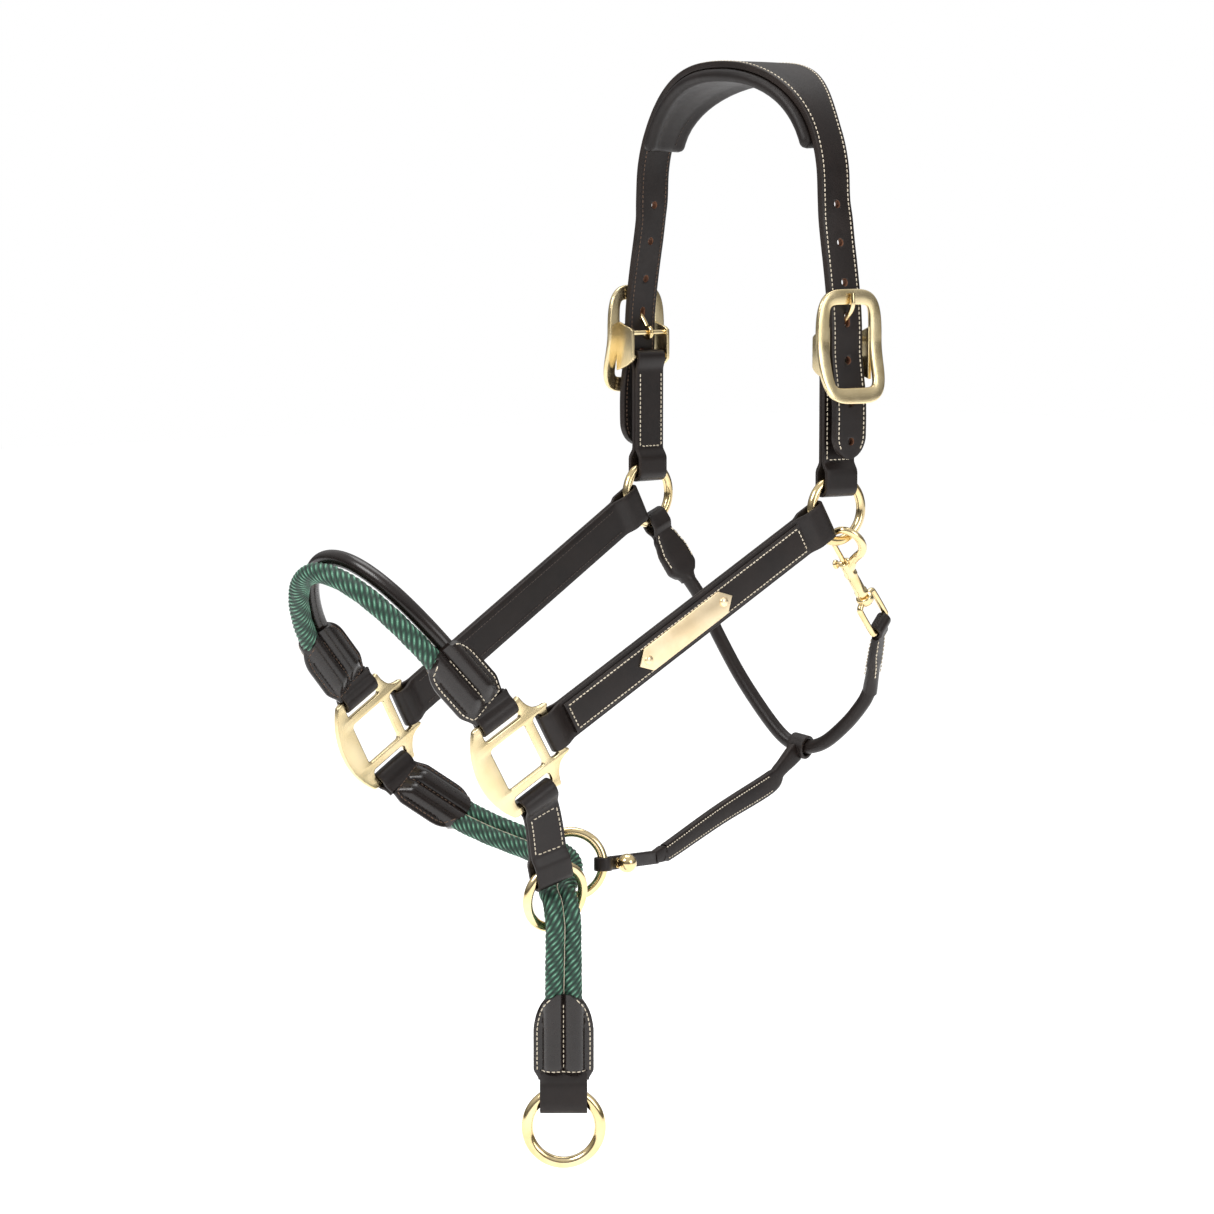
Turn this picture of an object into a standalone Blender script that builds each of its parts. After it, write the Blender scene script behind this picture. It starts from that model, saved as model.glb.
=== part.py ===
"""A control-type leather headcollar in its worn shape, as separate solids.

Lengths are in millimetres and become metres where a mesh is made. +Z is up, the horse faces -X
and its near (left) side is -Y. The origin is the seat of the padded poll piece, on the median
plane, where the horse's poll carries the whole headcollar.
"""
import math

import bmesh
import bpy
from mathutils import Matrix, Vector

MM = 0.001
GAP = 0.3
NEAR, OFF = -1, 1
SIDE_NAMES = {NEAR: "near", OFF: "off"}
UP = Vector((0, 0, 1))

# Driving dimensions
STRAP_WIDTH = 25.0
LAYER = 2.2                       # one layer of a doubled strap
HEADPIECE_THICKNESS = 4.5
PAD_THICKNESS = 6.0
POLL_WIDTH = 56.0
RING_RADIUS = 20.0                # centre line of the wire
RING_WIRE = 3.0
LEAD_RING_RADIUS = 22.4
LEAD_RING_WIRE = 3.6
ROPE_RADIUS = 6.0
CONTROL_RADIUS = 5.5
ROLL_RADIUS = 5.0
THROAT_ROLL_RADIUS = 4.5
PLATE_THICKNESS = 3.0             # the square fittings

# Where the fittings lie
RING_X, RING_Y, RING_Z = -6.0, 92.0, -273.0
SQUARE_X, SQUARE_Y, SQUARE_Z = -250.0, 71.5, -411.0
ARCH_HALF_WIDTH, ARCH_HEIGHT = 88.0, 86.0
PAD_GAP = 1.2
CROWN_Z = PAD_THICKNESS + PAD_GAP + HEADPIECE_THICKNESS / 2
BUCKLE_RISE = 104.0               # buckle centre above the ring centre
TONGUE_BAR_Z, CHAPE_BAR_Z = 4.0, -12.0    # in the buckle, from its centre
BAR_RADIUS = 1.75
BILLET_TIP_Z = -240.0
CHIN_RING = Vector((-214, -64, -501))
CHIN_RING_NORMAL = Vector((-0.097, -0.976, -0.174)).normalized()
BACK_RING = Vector((-186, -45, -487))
BACK_RING_NORMAL = Vector((-0.64, -0.76, 0.10)).normalized()
LEAD_X, LEAD_Y = -213.7, -71.5
LEAD_PIVOT_Z, LEAD_CAP_TOP, LEAD_CAP_NECK = -522.0, -570.0, -612.0
LEAD_RING_Z = -643.5
LEAD_ACROSS = Vector((0.766, -0.643, 0)).normalized()
THROAT_TAB_END = Vector((17, 80, -328))

# The square fittings, measured from the middle of the window
WINDOW_HALF = 14.5
SLOT_NEAR, SLOT_FAR, SLOT_HALF = 20.3, 26.8, 14.4
BAR_CENTRE = 29.3
BAR_EYE = 3.3                     # inner radius of a leather fold around a slot's bar


# ---------------------------------------------------------------- scene and materials
def clear_scene():
    for item in list(bpy.data.objects):
        bpy.data.objects.remove(item)


def new_collection(name):
    made = bpy.data.collections.new(name)
    bpy.context.scene.collection.children.link(made)
    return made


def make_material(name, colour, roughness, metallic=0.0):
    made = bpy.data.materials.new(name)
    made.use_nodes = True
    shader = made.node_tree.nodes["Principled BSDF"]
    shader.inputs["Base Color"].default_value = (*colour, 1)
    shader.inputs["Roughness"].default_value = roughness
    shader.inputs["Metallic"].default_value = metallic
    return made


# ---------------------------------------------------------------- small geometry
def axes(origin, x_axis, z_axis):
    """A placement whose X and Z axes are as given, Z made square to X, origin in millimetres."""
    x = x_axis.normalized()
    z = (z_axis - z_axis.dot(x) * x).normalized()
    y = z.cross(x)
    turned = Matrix((x, y, z)).transposed().to_4x4()
    return Matrix.Translation(origin * MM) @ turned


def square_to(vector, direction):
    """The part of a vector that is square to a direction, as a unit vector."""
    unit = direction.normalized()
    return (vector - vector.dot(unit) * unit).normalized()


def smooth_step(low, high, value):
    t = min(1.0, max(0.0, (value - low) / (high - low)))
    return t * t * (3 - 2 * t)


def arc(centre, radius, start, end, steps):
    """Points on an arc in a plane, angles in degrees."""
    made = []
    for k in range(steps + 1):
        angle = math.radians(start + (end - start) * k / steps)
        made.append((centre[0] + radius * math.cos(angle), centre[1] + radius * math.sin(angle)))
    return made


def bezier(p0, p1, p2, p3, steps):
    made = []
    for k in range(steps + 1):
        t = k / steps
        s = 1 - t
        made.append(p0 * s**3 + p1 * 3 * s * s * t + p2 * 3 * s * t * t + p3 * t**3)
    return made


def through(points, per_span):
    """A smooth Catmull-Rom curve through hand-chosen points."""
    ends = [points[0] * 2 - points[1], *points, points[-1] * 2 - points[-2]]
    made = []
    for k in range(len(points) - 1):
        a, b, c, d = ends[k:k + 4]
        for step in range(per_span):
            t = step / per_span
            made.append((b * 2 + (c - a) * t + (a * 2 - b * 5 + c * 4 - d) * t * t
                         + (b * 3 - a - c * 3 + d) * t**3) / 2)
    made.append(points[-1].copy())
    return made


# ---------------------------------------------------------------- solids
def place(name, data, material, matrix=None):
    item = bpy.data.objects.new(name, data)
    data.materials.append(material)
    PARTS.objects.link(item)
    if matrix is not None:
        item.matrix_world = matrix
    return item


def hide_tool(item):
    for home in list(item.users_collection):
        home.objects.unlink(item)
    TOOLS.objects.link(item)
    item.hide_render = True
    item.display_type = "WIRE"


def solidify(item, thickness):
    shell = item.modifiers.new("thickness", "SOLIDIFY")
    shell.thickness = thickness * MM
    shell.offset = 0
    shell.use_even_offset = True


def band(name, matrix, path, width, thickness, material, closed=True):
    """A strap of even width: a flat path in the placement's XY plane, its width along Z."""
    curve = bpy.data.curves.new(name, "CURVE")
    curve.dimensions = "2D"
    curve.fill_mode = "NONE"
    curve.extrude = width / 2 * MM
    spline = curve.splines.new("POLY")
    spline.points.add(len(path) - 1)
    for point, (x, y) in zip(spline.points, path):
        point.co = (x * MM, y * MM, 0, 1)
    spline.use_cyclic_u = closed
    item = place(name, curve, material, matrix)
    solidify(item, thickness)
    return item


def plate(name, matrix, outlines, thickness, material):
    """A flat plate from closed outlines, the first its edge and the others its holes."""
    curve = bpy.data.curves.new(name, "CURVE")
    curve.dimensions = "2D"
    curve.fill_mode = "BOTH"
    curve.extrude = thickness / 2 * MM
    for outline in outlines:
        spline = curve.splines.new("POLY")
        spline.points.add(len(outline) - 1)
        for point, (x, y) in zip(spline.points, outline):
            point.co = (x * MM, y * MM, 0, 1)
        spline.use_cyclic_u = True
    return place(name, curve, material, matrix)


def tube(name, points, radius, material, origin=None, sides=2, closed=False):
    """A round rod, rope or wire along points in millimetres."""
    start = origin if origin is not None else Vector((0, 0, 0))
    curve = bpy.data.curves.new(name, "CURVE")
    curve.dimensions = "3D"
    curve.bevel_depth = radius * MM
    curve.bevel_resolution = sides
    curve.use_fill_caps = not closed
    spline = curve.splines.new("POLY")
    spline.points.add(len(points) - 1)
    for point, place_at in zip(spline.points, points):
        point.co = (*((place_at - start) * MM), 1)
    spline.use_cyclic_u = closed
    return place(name, curve, material, Matrix.Translation(start * MM))


def ring(name, centre, normal, radius, wire, material):
    bpy.ops.mesh.primitive_torus_add(
        major_segments=36, minor_segments=10, major_radius=radius * MM, minor_radius=wire * MM,
        location=centre * MM, rotation=normal.to_track_quat("Z", "Y").to_euler())
    item = bpy.context.object
    item.name = name
    return adopt(item, material)


def adopt(item, material):
    """Moves an object made by an operator into the headcollar's collection."""
    for home in list(item.users_collection):
        home.objects.unlink(item)
    PARTS.objects.link(item)
    item.data.materials.append(material)
    item.data.shade_smooth()
    return item


def loft(name, sections, material, matrix=None):
    """A closed solid through sections of equally many points, capped at both ends."""
    shape = bmesh.new()
    rows = [[shape.verts.new(Vector(p) * MM) for p in section] for section in sections]
    count = len(rows[0])
    for row, after in zip(rows, rows[1:]):
        for k in range(count):
            shape.faces.new((row[k], row[(k + 1) % count], after[(k + 1) % count], after[k]))
    shape.faces.new(rows[0])
    shape.faces.new(rows[-1])
    bmesh.ops.recalc_face_normals(shape, faces=shape.faces)
    mesh = bpy.data.meshes.new(name)
    shape.to_mesh(mesh)
    shape.free()
    return place(name, mesh, material, matrix)


def lofted_strap(name, stations, thickness, material):
    """A strap along stations of (centre, across, width), for one that twists or changes width."""
    sections = []
    for k, (centre, across, width) in enumerate(stations):
        before = stations[max(k - 1, 0)][0]
        after = stations[min(k + 1, len(stations) - 1)][0]
        side = square_to(across, after - before)
        normal = side.cross(after - before).normalized()
        half, thick = side * width / 2, normal * thickness / 2
        sections.append([centre - half - thick, centre + half - thick,
                         centre + half + thick, centre - half + thick])
    return loft(name, sections, material)


def box(name, matrix, low, high, material):
    bpy.ops.mesh.primitive_cube_add(size=1)
    item = bpy.context.object
    item.name = name
    size = Vector(high) - Vector(low)
    middle = (Vector(high) + Vector(low)) / 2
    item.data.transform(Matrix.Translation(middle * MM) @ Matrix.Diagonal((*(size * MM), 1)))
    item.matrix_world = matrix
    return adopt(item, material)


def rod(name, start, end, radius, material, sides=14):
    """A straight cylinder between two points in millimetres."""
    along = end - start
    bpy.ops.mesh.primitive_cylinder_add(
        vertices=sides, radius=radius * MM, depth=along.length * MM, location=(start + end) / 2 * MM,
        rotation=along.to_track_quat("Z", "Y").to_euler())
    item = bpy.context.object
    item.name = name
    return adopt(item, material)


def to_mesh(item):
    """The evaluated mesh of a curve or a modified object, as an object of its own."""
    bpy.context.view_layer.update()
    seen = item.evaluated_get(bpy.context.evaluated_depsgraph_get())
    mesh = bpy.data.meshes.new_from_object(seen)
    shape = bmesh.new()
    shape.from_mesh(mesh)
    bmesh.ops.remove_doubles(shape, verts=shape.verts, dist=1e-6)
    bmesh.ops.recalc_face_normals(shape, faces=shape.faces)
    shape.to_mesh(mesh)
    shape.free()
    name, placed, home = item.name, item.matrix_world.copy(), item.users_collection[0]
    bpy.data.objects.remove(item)
    solid = bpy.data.objects.new(name, mesh)
    home.objects.link(solid)
    solid.matrix_world = placed
    return solid


def combine(base, others, operation="UNION"):
    base = to_mesh(base) if base.type == "CURVE" or base.modifiers else base
    for other in others:
        tool = to_mesh(other) if other.type == "CURVE" or other.modifiers else other
        hide_tool(tool)
        step = base.modifiers.new(operation.lower(), "BOOLEAN")
        step.operation = operation
        step.solver = "EXACT"
        step.object = tool
    return base


# ---------------------------------------------------------------- the two sides
class Side:
    """The vertical plane that holds one side's ring, cheek strap and square fitting."""

    def __init__(self, sign):
        self.sign = sign
        self.name = SIDE_NAMES[sign]
        self.ring = Vector((RING_X, sign * RING_Y, RING_Z))
        self.square = Vector((SQUARE_X, sign * SQUARE_Y, SQUARE_Z))
        level = self.square - self.ring
        self.forward = Vector((level.x, level.y, 0)).normalized()
        self.out = self.forward.cross(UP) * sign
        self.cheek = level.normalized()
        self.cheek_length = level.length
        self.across_cheek = square_to(UP, self.cheek)

    def at(self, forward, out, up):
        """A point in the side's own terms, up being a world height in millimetres."""
        base = Vector((self.ring.x, self.ring.y, 0))
        return base + self.forward * forward + self.out * out + UP * up


def eye_path(corner, radius, reach, taper, layer_offset, steps=6):
    """Half of a fold: from the tip at the corner, along one face, to where the layers meet."""
    made = arc((corner, 0), radius, 180, 90, steps)
    made.append((reach, radius))
    for k in (1, 2, 3):
        t = k / 3
        made.append((reach + taper * t, radius + (layer_offset - radius) * smooth_step(0, 1, t)))
    return made


def ring_eye(radius, wire, width, layer, slack=0.3):
    """How far from the ring's centre a fold's end arc is centred, its radius, and its far end."""
    inner = radius - wire - GAP
    corner = math.sqrt(inner**2 - (width / 2)**2) + wire + GAP
    return corner, wire + GAP + slack + layer / 2, radius + wire + GAP + slack


def doubled_path(start, end, layer_offset):
    """The closed path of a strap folded at both ends. An end is (corner, radius, reach, taper)."""
    first = eye_path(*start, layer_offset)
    last = [(-x, y) for x, y in eye_path(-end[0], end[1], -end[2], end[3], layer_offset)]
    upper = first + last[::-1]
    lower = [(x, -y) for x, y in upper[1:-1]]
    return upper + lower[::-1]


def fold_path(corner, radius, reach, taper, layer_offset, tail):
    """An open fold around a bar at the origin end, its two layers running on to the tail."""
    half = eye_path(corner, radius, reach, taper, layer_offset)
    half.append((tail, layer_offset))
    other = [(x, -y) for x, y in half[1:]]
    return other[::-1] + half


# ---------------------------------------------------------------- headpiece
def arch_point(angle):
    """Centre line of the headpiece over the poll, 0 at the near side and 180 at the off side."""
    turn = math.radians(angle)
    across = math.copysign(abs(math.cos(turn)) ** 0.87, math.cos(turn))
    rise = abs(math.sin(turn)) ** 0.87
    back = smooth_step(25, 90, angle if angle <= 90 else 180 - angle)
    return Vector((RING_X + 6 * back, -ARCH_HALF_WIDTH * across,
                   CROWN_Z - ARCH_HEIGHT * (1 - rise)))


def arch_width(angle):
    inner = angle if angle <= 90 else 180 - angle
    return STRAP_WIDTH + (POLL_WIDTH - STRAP_WIDTH) * smooth_step(25, 90, inner)


def billet_points(side):
    """Centre line of the strap from its tip, over the chape and under the buckle, to the arch."""
    profile = ((11.4, BILLET_TIP_Z), (12.2, -222), (12.2, -208), (11.2, -196), (9.4, -185),
               (7.8, -174), (7.6, -160), (7.0, -150), (6.0, -141), (4.4, -130), (2.2, -117),
               (-0.4, -103), (-2.6, -89))
    return [side.at(0, out, up) for out, up in profile]


def make_headpiece(near, off):
    x_axis = Vector((1, 0, 0))
    stations = []
    for point in billet_points(near):
        stations.append((point, -near.forward, STRAP_WIDTH))
    for angle in range(0, 181, 10):
        stations.append((arch_point(angle), x_axis, arch_width(angle)))
    for point in reversed(billet_points(off)):
        stations.append((point, -off.forward, STRAP_WIDTH))
    strap = lofted_strap("headpiece_strap", stations, HEADPIECE_THICKNESS, LEATHER)
    cutters = []
    for side in (near, off):
        for k, height in enumerate((-229, -204, -178, -129, -104, -80)):
            middle = side.at(0, 4, height)
            cutters.append(rod(f"{side.name}_hole_{k}", middle - side.out * 12,
                               middle + side.out * 12, 2.0, LEATHER, 10))
        slot = []
        height = -169 + 16.5
        for sign, turn in ((1, 0), (-1, 180)):
            slot += arc((0, height + sign * 3.6), 2.0, turn, turn + 180, 6)
        base = axes(side.at(0, 4, 0), side.forward, side.forward.cross(UP))
        cutters.append(plate(f"{side.name}_tongue_hole", base, [slot], 24, LEATHER))
    combine(strap, cutters, "DIFFERENCE")

    inset = HEADPIECE_THICKNESS / 2 + PAD_GAP + PAD_THICKNESS / 2
    pad = []
    for angle in range(20, 161, 10):
        run = arch_point(angle + 10) - arch_point(angle - 10)
        outward = square_to(x_axis, run).cross(run).normalized()
        pad.append((arch_point(angle) - outward * inset, x_axis, arch_width(angle) + 3))
    lofted_strap("poll_pad", pad, PAD_THICKNESS, LINING)


# ---------------------------------------------------------------- buckles
def buckle_bow(height):
    """How far the lower half of the frame stands out to clear the billet."""
    return 8.0 * smooth_step(-4, 40, -height)


def make_buckle(side):
    centre = side.at(0, 0, RING_Z + BUCKLE_RISE)
    to_world = axes(centre, side.forward, side.forward.cross(UP))
    sign = side.sign
    seat = 11.4
    shape = bmesh.new()
    rows = []
    for half_width, half_height, power in ((26, 36, 3.6), (21, 31, 5), (16.5, 26, 9)):
        row = []
        for k in range(44):
            turn = 2 * math.pi * k / 44
            reach = ((abs(math.cos(turn)) / half_width) ** power
                     + (abs(math.sin(turn)) / half_height) ** power) ** (-1 / power)
            height = reach * math.sin(turn)
            out = seat + buckle_bow(height)
            row.append(shape.verts.new(
                Vector((reach * math.cos(turn), height, sign * out)) * MM))
        rows.append(row)
    for row, inner in zip(rows, rows[1:]):
        for k in range(44):
            shape.faces.new((row[k], row[(k + 1) % 44], inner[(k + 1) % 44], inner[k]))
    mesh = bpy.data.meshes.new("frame")
    shape.to_mesh(mesh)
    shape.free()
    frame = place(f"{side.name}_buckle_frame", mesh, BRASS, to_world)
    solidify(frame, 3.0)

    lug = [(-21, 12), (-19, 5), (-16.6, 0), (-14.4, -2.2), (-12, -2.9), (4, -2.9), (6.4, -2),
           (8, 0.6), (9.6, 5.4), (12, 12)]
    extras = []
    for k in (-1, 1):
        lug_base = axes(centre + side.forward * k * 16.7, UP, side.out.cross(UP))
        facing = 1 if (lug_base.to_3x3() @ Vector((0, 1, 0))).dot(side.out) > 0 else -1
        extras.append(plate(f"lug_{k}", lug_base, [[(x, y * facing) for x, y in lug]], 2.6, BRASS))
    for height in (TONGUE_BAR_Z, CHAPE_BAR_Z):
        middle = centre + UP * height
        extras.append(rod("bar", middle - side.forward * 16.6, middle + side.forward * 16.6,
                          BAR_RADIUS, BRASS))
    combine(frame, extras)

    coil = arc((TONGUE_BAR_Z, 0), BAR_RADIUS + 0.2 + 1.5, 120, 370, 10)
    shank = [(10.6, 2.6), (14, 5.3), (17.6, 8.8), (21, 12.2), (24.3, 14.6), (28, 15.2), (33, 14.9)]
    pivot = centre + UP * TONGUE_BAR_Z
    points = [centre + UP * up + side.out * out for up, out in coil + shank]
    tube(f"{side.name}_buckle_tongue", points, 1.5, BRASS, pivot)


def make_chape(side):
    """The doubled tab that hangs the ring from the buckle."""
    bar = -(RING_Z + BUCKLE_RISE + CHAPE_BAR_Z)
    thick = 2.5
    corner, radius, far = ring_eye(RING_RADIUS, RING_WIRE, STRAP_WIDTH, thick)
    upper = (bar, BAR_RADIUS + GAP + thick / 2, bar + 1, 8)
    lower = (-RING_Z - corner, radius, -RING_Z - far, 7.5)
    path = doubled_path(upper, lower, (thick + GAP) / 2)
    base = axes(side.at(0, 0, 0), -UP, side.forward)
    band(f"{side.name}_chape", base, path, STRAP_WIDTH, thick, LEATHER)


# ---------------------------------------------------------------- cheeks and square fittings
def square_outlines():
    """Edge, window and three slots; X points along the cheek strap, Y along the nose tab."""
    half_edge = [(32.3, 14.5), (33.8, 16), (32, 18), (27, 19), (23.4, 21.4),
                 (20.2, 26.5), (19, 31), (17.4, 32.3), (15, 31.6), (-15, 31.6)]
    half_edge += back_arc()
    edge = half_edge + [(x, -y) for x, y in reversed(half_edge)]
    corner = 2.2
    window = rounded_box(-WINDOW_HALF, WINDOW_HALF, -WINDOW_HALF, WINDOW_HALF, corner)
    slots = [rounded_box(SLOT_NEAR, SLOT_FAR, -SLOT_HALF, SLOT_HALF, 2.4),
             rounded_box(-SLOT_HALF, SLOT_HALF, SLOT_NEAR, SLOT_FAR, 2.4),
             rounded_box(-SLOT_HALF, SLOT_HALF, -SLOT_FAR, -SLOT_NEAR, 2.4)]
    return [edge, window, *slots]


def back_arc():
    """The curved front of the fitting, from the end of the nose bar to the middle."""
    made = [(-17, 31.8), (-18.6, 31)]
    for y in (27, 22.5, 18, 13.5, 9, 4.5, 0.5):
        made.append((20 - math.sqrt(2500 - y * y), y))
    return made


def rounded_box(left, right, bottom, top, radius):
    made = []
    for cx, cy, start in ((right - radius, top - radius, 0), (left + radius, top - radius, 90),
                          (left + radius, bottom + radius, 180),
                          (right - radius, bottom + radius, 270)):
        made += arc((cx, cy), radius, start, start + 90, 3)
    return made


def make_cheek(side):
    bar = side.cheek_length - BAR_CENTRE
    offset = (LAYER + GAP) / 2
    corner, radius, far = ring_eye(RING_RADIUS, RING_WIRE, STRAP_WIDTH, LAYER)
    at_ring = (corner, radius, far, 9)
    at_square = (bar, BAR_EYE + LAYER / 2, bar - 2, 10)
    base = axes(side.ring, side.cheek, side.across_cheek)
    path = doubled_path(at_ring, at_square, offset)
    band(f"{side.name}_cheek_strap", base, path, STRAP_WIDTH, LAYER, LEATHER)

    outward = 1 if side.out.dot(base.to_3x3() @ Vector((0, 1, 0))) > 0 else -1
    face = offset + LAYER / 2 + GAP
    low, high = 34, bar - 14
    panel = [(low, outward * (face + 0.9)), (high, outward * (face + 0.9))]
    band(f"{side.name}_cheek_overlay", base, panel, 19, 1.8, LEATHER, closed=False)

    fitting = axes(side.square, -side.cheek, side.cheek.cross(side.across_cheek))
    plate(f"{side.name}_square", fitting, square_outlines(), PLATE_THICKNESS, BRASS)
    return face + 1.8 + GAP


def make_name_plate(side, face):
    middle = side.ring + side.cheek * (side.cheek_length / 2) + side.out * (face + 0.6)
    base = axes(middle, side.cheek, side.cheek.cross(side.across_cheek))
    half_long, half_high, point = 40.5, 8.0, 8.0
    outline = [(-half_long, 0), (-half_long + point, -half_high), (half_long - point, -half_high),
               (half_long, 0), (half_long - point, half_high), (-half_long + point, half_high)]
    plate("name_plate", base, [outline], 1.2, BRASS)
    for k in (-1, 1):
        foot = middle + side.cheek * k * 33 + side.out * (0.6 + GAP)
        head = rod("head", foot, foot + side.out * 1.2, 2.4, BRASS)
        head.name = ("upper" if k < 0 else "lower") + "_plate_rivet"


# ---------------------------------------------------------------- tabs
def oval_rows(sections):
    """Oval cross-sections from (distance, width, depth), for a padded leather body."""
    return [[(distance, deep / 2 * math.sin(a), wide / 2 * math.cos(a)) for a in ROUND_ANGLES]
            for distance, wide, deep in sections]


def tab(name, bar, bar_line, along, width, eye, sections):
    """A leather tab: a fold square to a bar or ring wire, and a padded body that leans from it.

    eye is (corner, radius, reach, taper) and sections are (distance, width, depth).
    """
    fold_base = axes(bar, square_to(along, bar_line), bar_line)
    path = fold_path(*eye, 1.6, sections[0][0] + 3)
    fold = band(name, fold_base, path, width, LAYER, LEATHER, closed=False)
    body = loft(f"{name}_body", oval_rows(sections), LEATHER, axes(bar, along, bar_line))
    return combine(fold, [body])


BAR_FOLD = (0, BAR_EYE + LAYER / 2, 1.5, 6)
ROUND_ANGLES = [math.radians(a) for a in (0, 25, 50, 90, 130, 155, 180, 205, 230, 270, 310, 335)]


def make_nose(near, off):
    """Two padded tabs, and between them the leather roll and the rope."""
    starts = {}
    for side in (near, off):
        bar = side.square + side.across_cheek * BAR_CENTRE
        lean = math.radians(47)
        along = (side.forward * math.cos(lean) + UP * math.sin(lean) - side.out * 0.06).normalized()
        across = square_to(-side.cheek, along)
        tab(f"{side.name}_nose_tab", bar, -side.cheek, along, STRAP_WIDTH, BAR_FOLD,
            ((7.5, 26, 7), (13, 32, 10), (22, 36, 14), (38, 35.5, 14), (46, 31, 13)))
        end = bar + along * 47
        starts[side.sign] = (end, across, along)

    def nose_route(shift, middle, reach):
        end, across, along = starts[NEAR]
        first = end + across * shift
        half = bezier(first, first + along * 20, middle - Vector((0, reach, 0)), middle, 12)
        mirrored = [Vector((p.x, -p.y, p.z)) for p in reversed(half[:-1])]
        return half + mirrored

    roll = nose_route(5.9, Vector((-331, 0, -291)), 38)
    rope = nose_route(-5.9, Vector((-341.5, 0, -299.5)), 38)
    tube("nose_roll", roll, ROLL_RADIUS, LEATHER, sides=3)
    tube("nose_rope", rope, ROPE_RADIUS, ROPE, sides=3)


# ---------------------------------------------------------------- chin strap, rings and rope
CONTROL_ROUTE = [Vector(p) for p in (
    (-211, 45, -460), (-206, 38.5, -464.8), (-197.3, 20.3, -472.4), (-186.6, -12.1, -480.8),
    (-186, -35.2, -485.6), (-192.2, -46, -491), (-205.8, -55.7, -498.3), (-211.6, -65.9, -504.2),
    (-213.4, -70.3, -511.7), (LEAD_X, LEAD_Y, -518.2), (LEAD_X, LEAD_Y, -521.7))]
CONTROL_ACROSS = [Vector(p) for p in (
    (0.78, 0.19, 0.60), (0.80, 0.22, 0.56), (0.83, 0.24, 0.50), (0.89, 0.12, 0.44),
    (0.94, -0.05, 0.34), (0.96, -0.23, 0.17), (0.96, -0.23, 0.13), (0.99, -0.13, 0.06),
    (0.95, -0.30, 0.11), (0.96, -0.29, 0.01), (0.96, -0.29, 0))]


def make_control():
    """The off chin tab, the two ropes sewn side by side, the leather end and the lead ring."""
    off = SIDES[OFF]
    bar = off.square - off.across_cheek * BAR_CENTRE
    along = (CONTROL_ROUTE[0] - bar).normalized()
    length = (CONTROL_ROUTE[0] - bar).length
    tab("off_chin_tab", bar, -off.cheek, along, STRAP_WIDTH, BAR_FOLD,
        ((8, 25, 6), (14, 30, 10), (24, 33, 14), (length - 0.8, 31, 13.5)))

    centre = through(CONTROL_ROUTE, 4)
    across = through(CONTROL_ACROSS, 4)
    half = CONTROL_RADIUS + GAP / 2
    drop_top, drop_end = LEAD_PIVOT_Z - 0.8, LEAD_CAP_TOP + 0.9
    pivot = Vector((LEAD_X, LEAD_Y, LEAD_PIVOT_Z))
    for label, sign in (("a", -1), ("b", 1)):
        run = []
        for k, point in enumerate(centre):
            tangent = centre[min(k + 1, len(centre) - 1)] - centre[max(k - 1, 0)]
            run.append(point + square_to(across[k], tangent) * half * sign)
        tube(f"control_rope_{label}", run, CONTROL_RADIUS, ROPE, sides=3)
        drop = []
        for k in range(5):
            t = k / 4
            turn = CONTROL_ACROSS[-1].lerp(LEAD_ACROSS, t).normalized()
            height = drop_top + (drop_end - drop_top) * t
            drop.append(Vector((LEAD_X, LEAD_Y, height)) + square_to(turn, UP) * half * sign)
        tube(f"lead_rope_{label}", drop, CONTROL_RADIUS, ROPE, pivot, sides=3)


def make_lead_end():
    pivot = Vector((LEAD_X, LEAD_Y, 0))
    base = axes(pivot, -UP, LEAD_ACROSS)
    top, neck = -LEAD_CAP_TOP, -LEAD_CAP_NECK
    eye_radius = LEAD_RING_WIRE + 1.6 + LAYER / 2
    wire = -(LEAD_RING_Z + LEAD_RING_RADIUS)
    width = 29.0
    sagitta = LEAD_RING_RADIUS - math.sqrt(LEAD_RING_RADIUS**2 - (width / 2)**2)
    half = eye_path(-(wire + sagitta + 1.2), eye_radius, -(wire - 4.6), 7, 2.2)
    half.append((-(neck - 4), 2.2))
    path = [(-x, y) for x, y in half]
    path = [(x, -y) for x, y in path[1:]][::-1] + path
    loop = band("lead_end_leather", base, path, width, LAYER, LEATHER, closed=False)
    rows = oval_rows(((top, 31, 13.5), (top + 12, 37, 15), (neck - 12, 37, 15),
                      (neck - 3, 35, 11), (neck, 31, 8)))
    combine(loop, [loft("lead_body", rows, LEATHER, base)])
    ring("lead_ring", Vector((LEAD_X, LEAD_Y, LEAD_RING_Z)), LEAD_ACROSS.cross(UP),
         LEAD_RING_RADIUS, LEAD_RING_WIRE, BRASS)


def twisting_band(name, spine, length, path, width, thickness, material):
    """A closed strap on a curved spine, a list of (point, across) evenly spaced over length."""
    shape = bmesh.new()
    rows = []
    last = len(spine) - 1
    for distance, offset in path:
        step = min(max(distance / length, 0), 1) * last
        k = min(int(step), last - 1)
        share = step - k
        run = spine[k + 1][0] - spine[k][0]
        beyond = distance - min(max(distance, 0), length)
        middle = spine[k][0].lerp(spine[k + 1][0], share) + run.normalized() * beyond
        across = square_to(spine[k][1].lerp(spine[k + 1][1], share), run)
        middle += across.cross(run).normalized() * offset
        rows.append([shape.verts.new((middle + across * width / 2 * k) * MM) for k in (-1, 1)])
    for row, after in zip(rows, rows[1:] + rows[:1]):
        shape.faces.new((row[0], row[1], after[1], after[0]))
    mesh = bpy.data.meshes.new(name)
    shape.to_mesh(mesh)
    shape.free()
    solidify(place(name, mesh, material), thickness)


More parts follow.
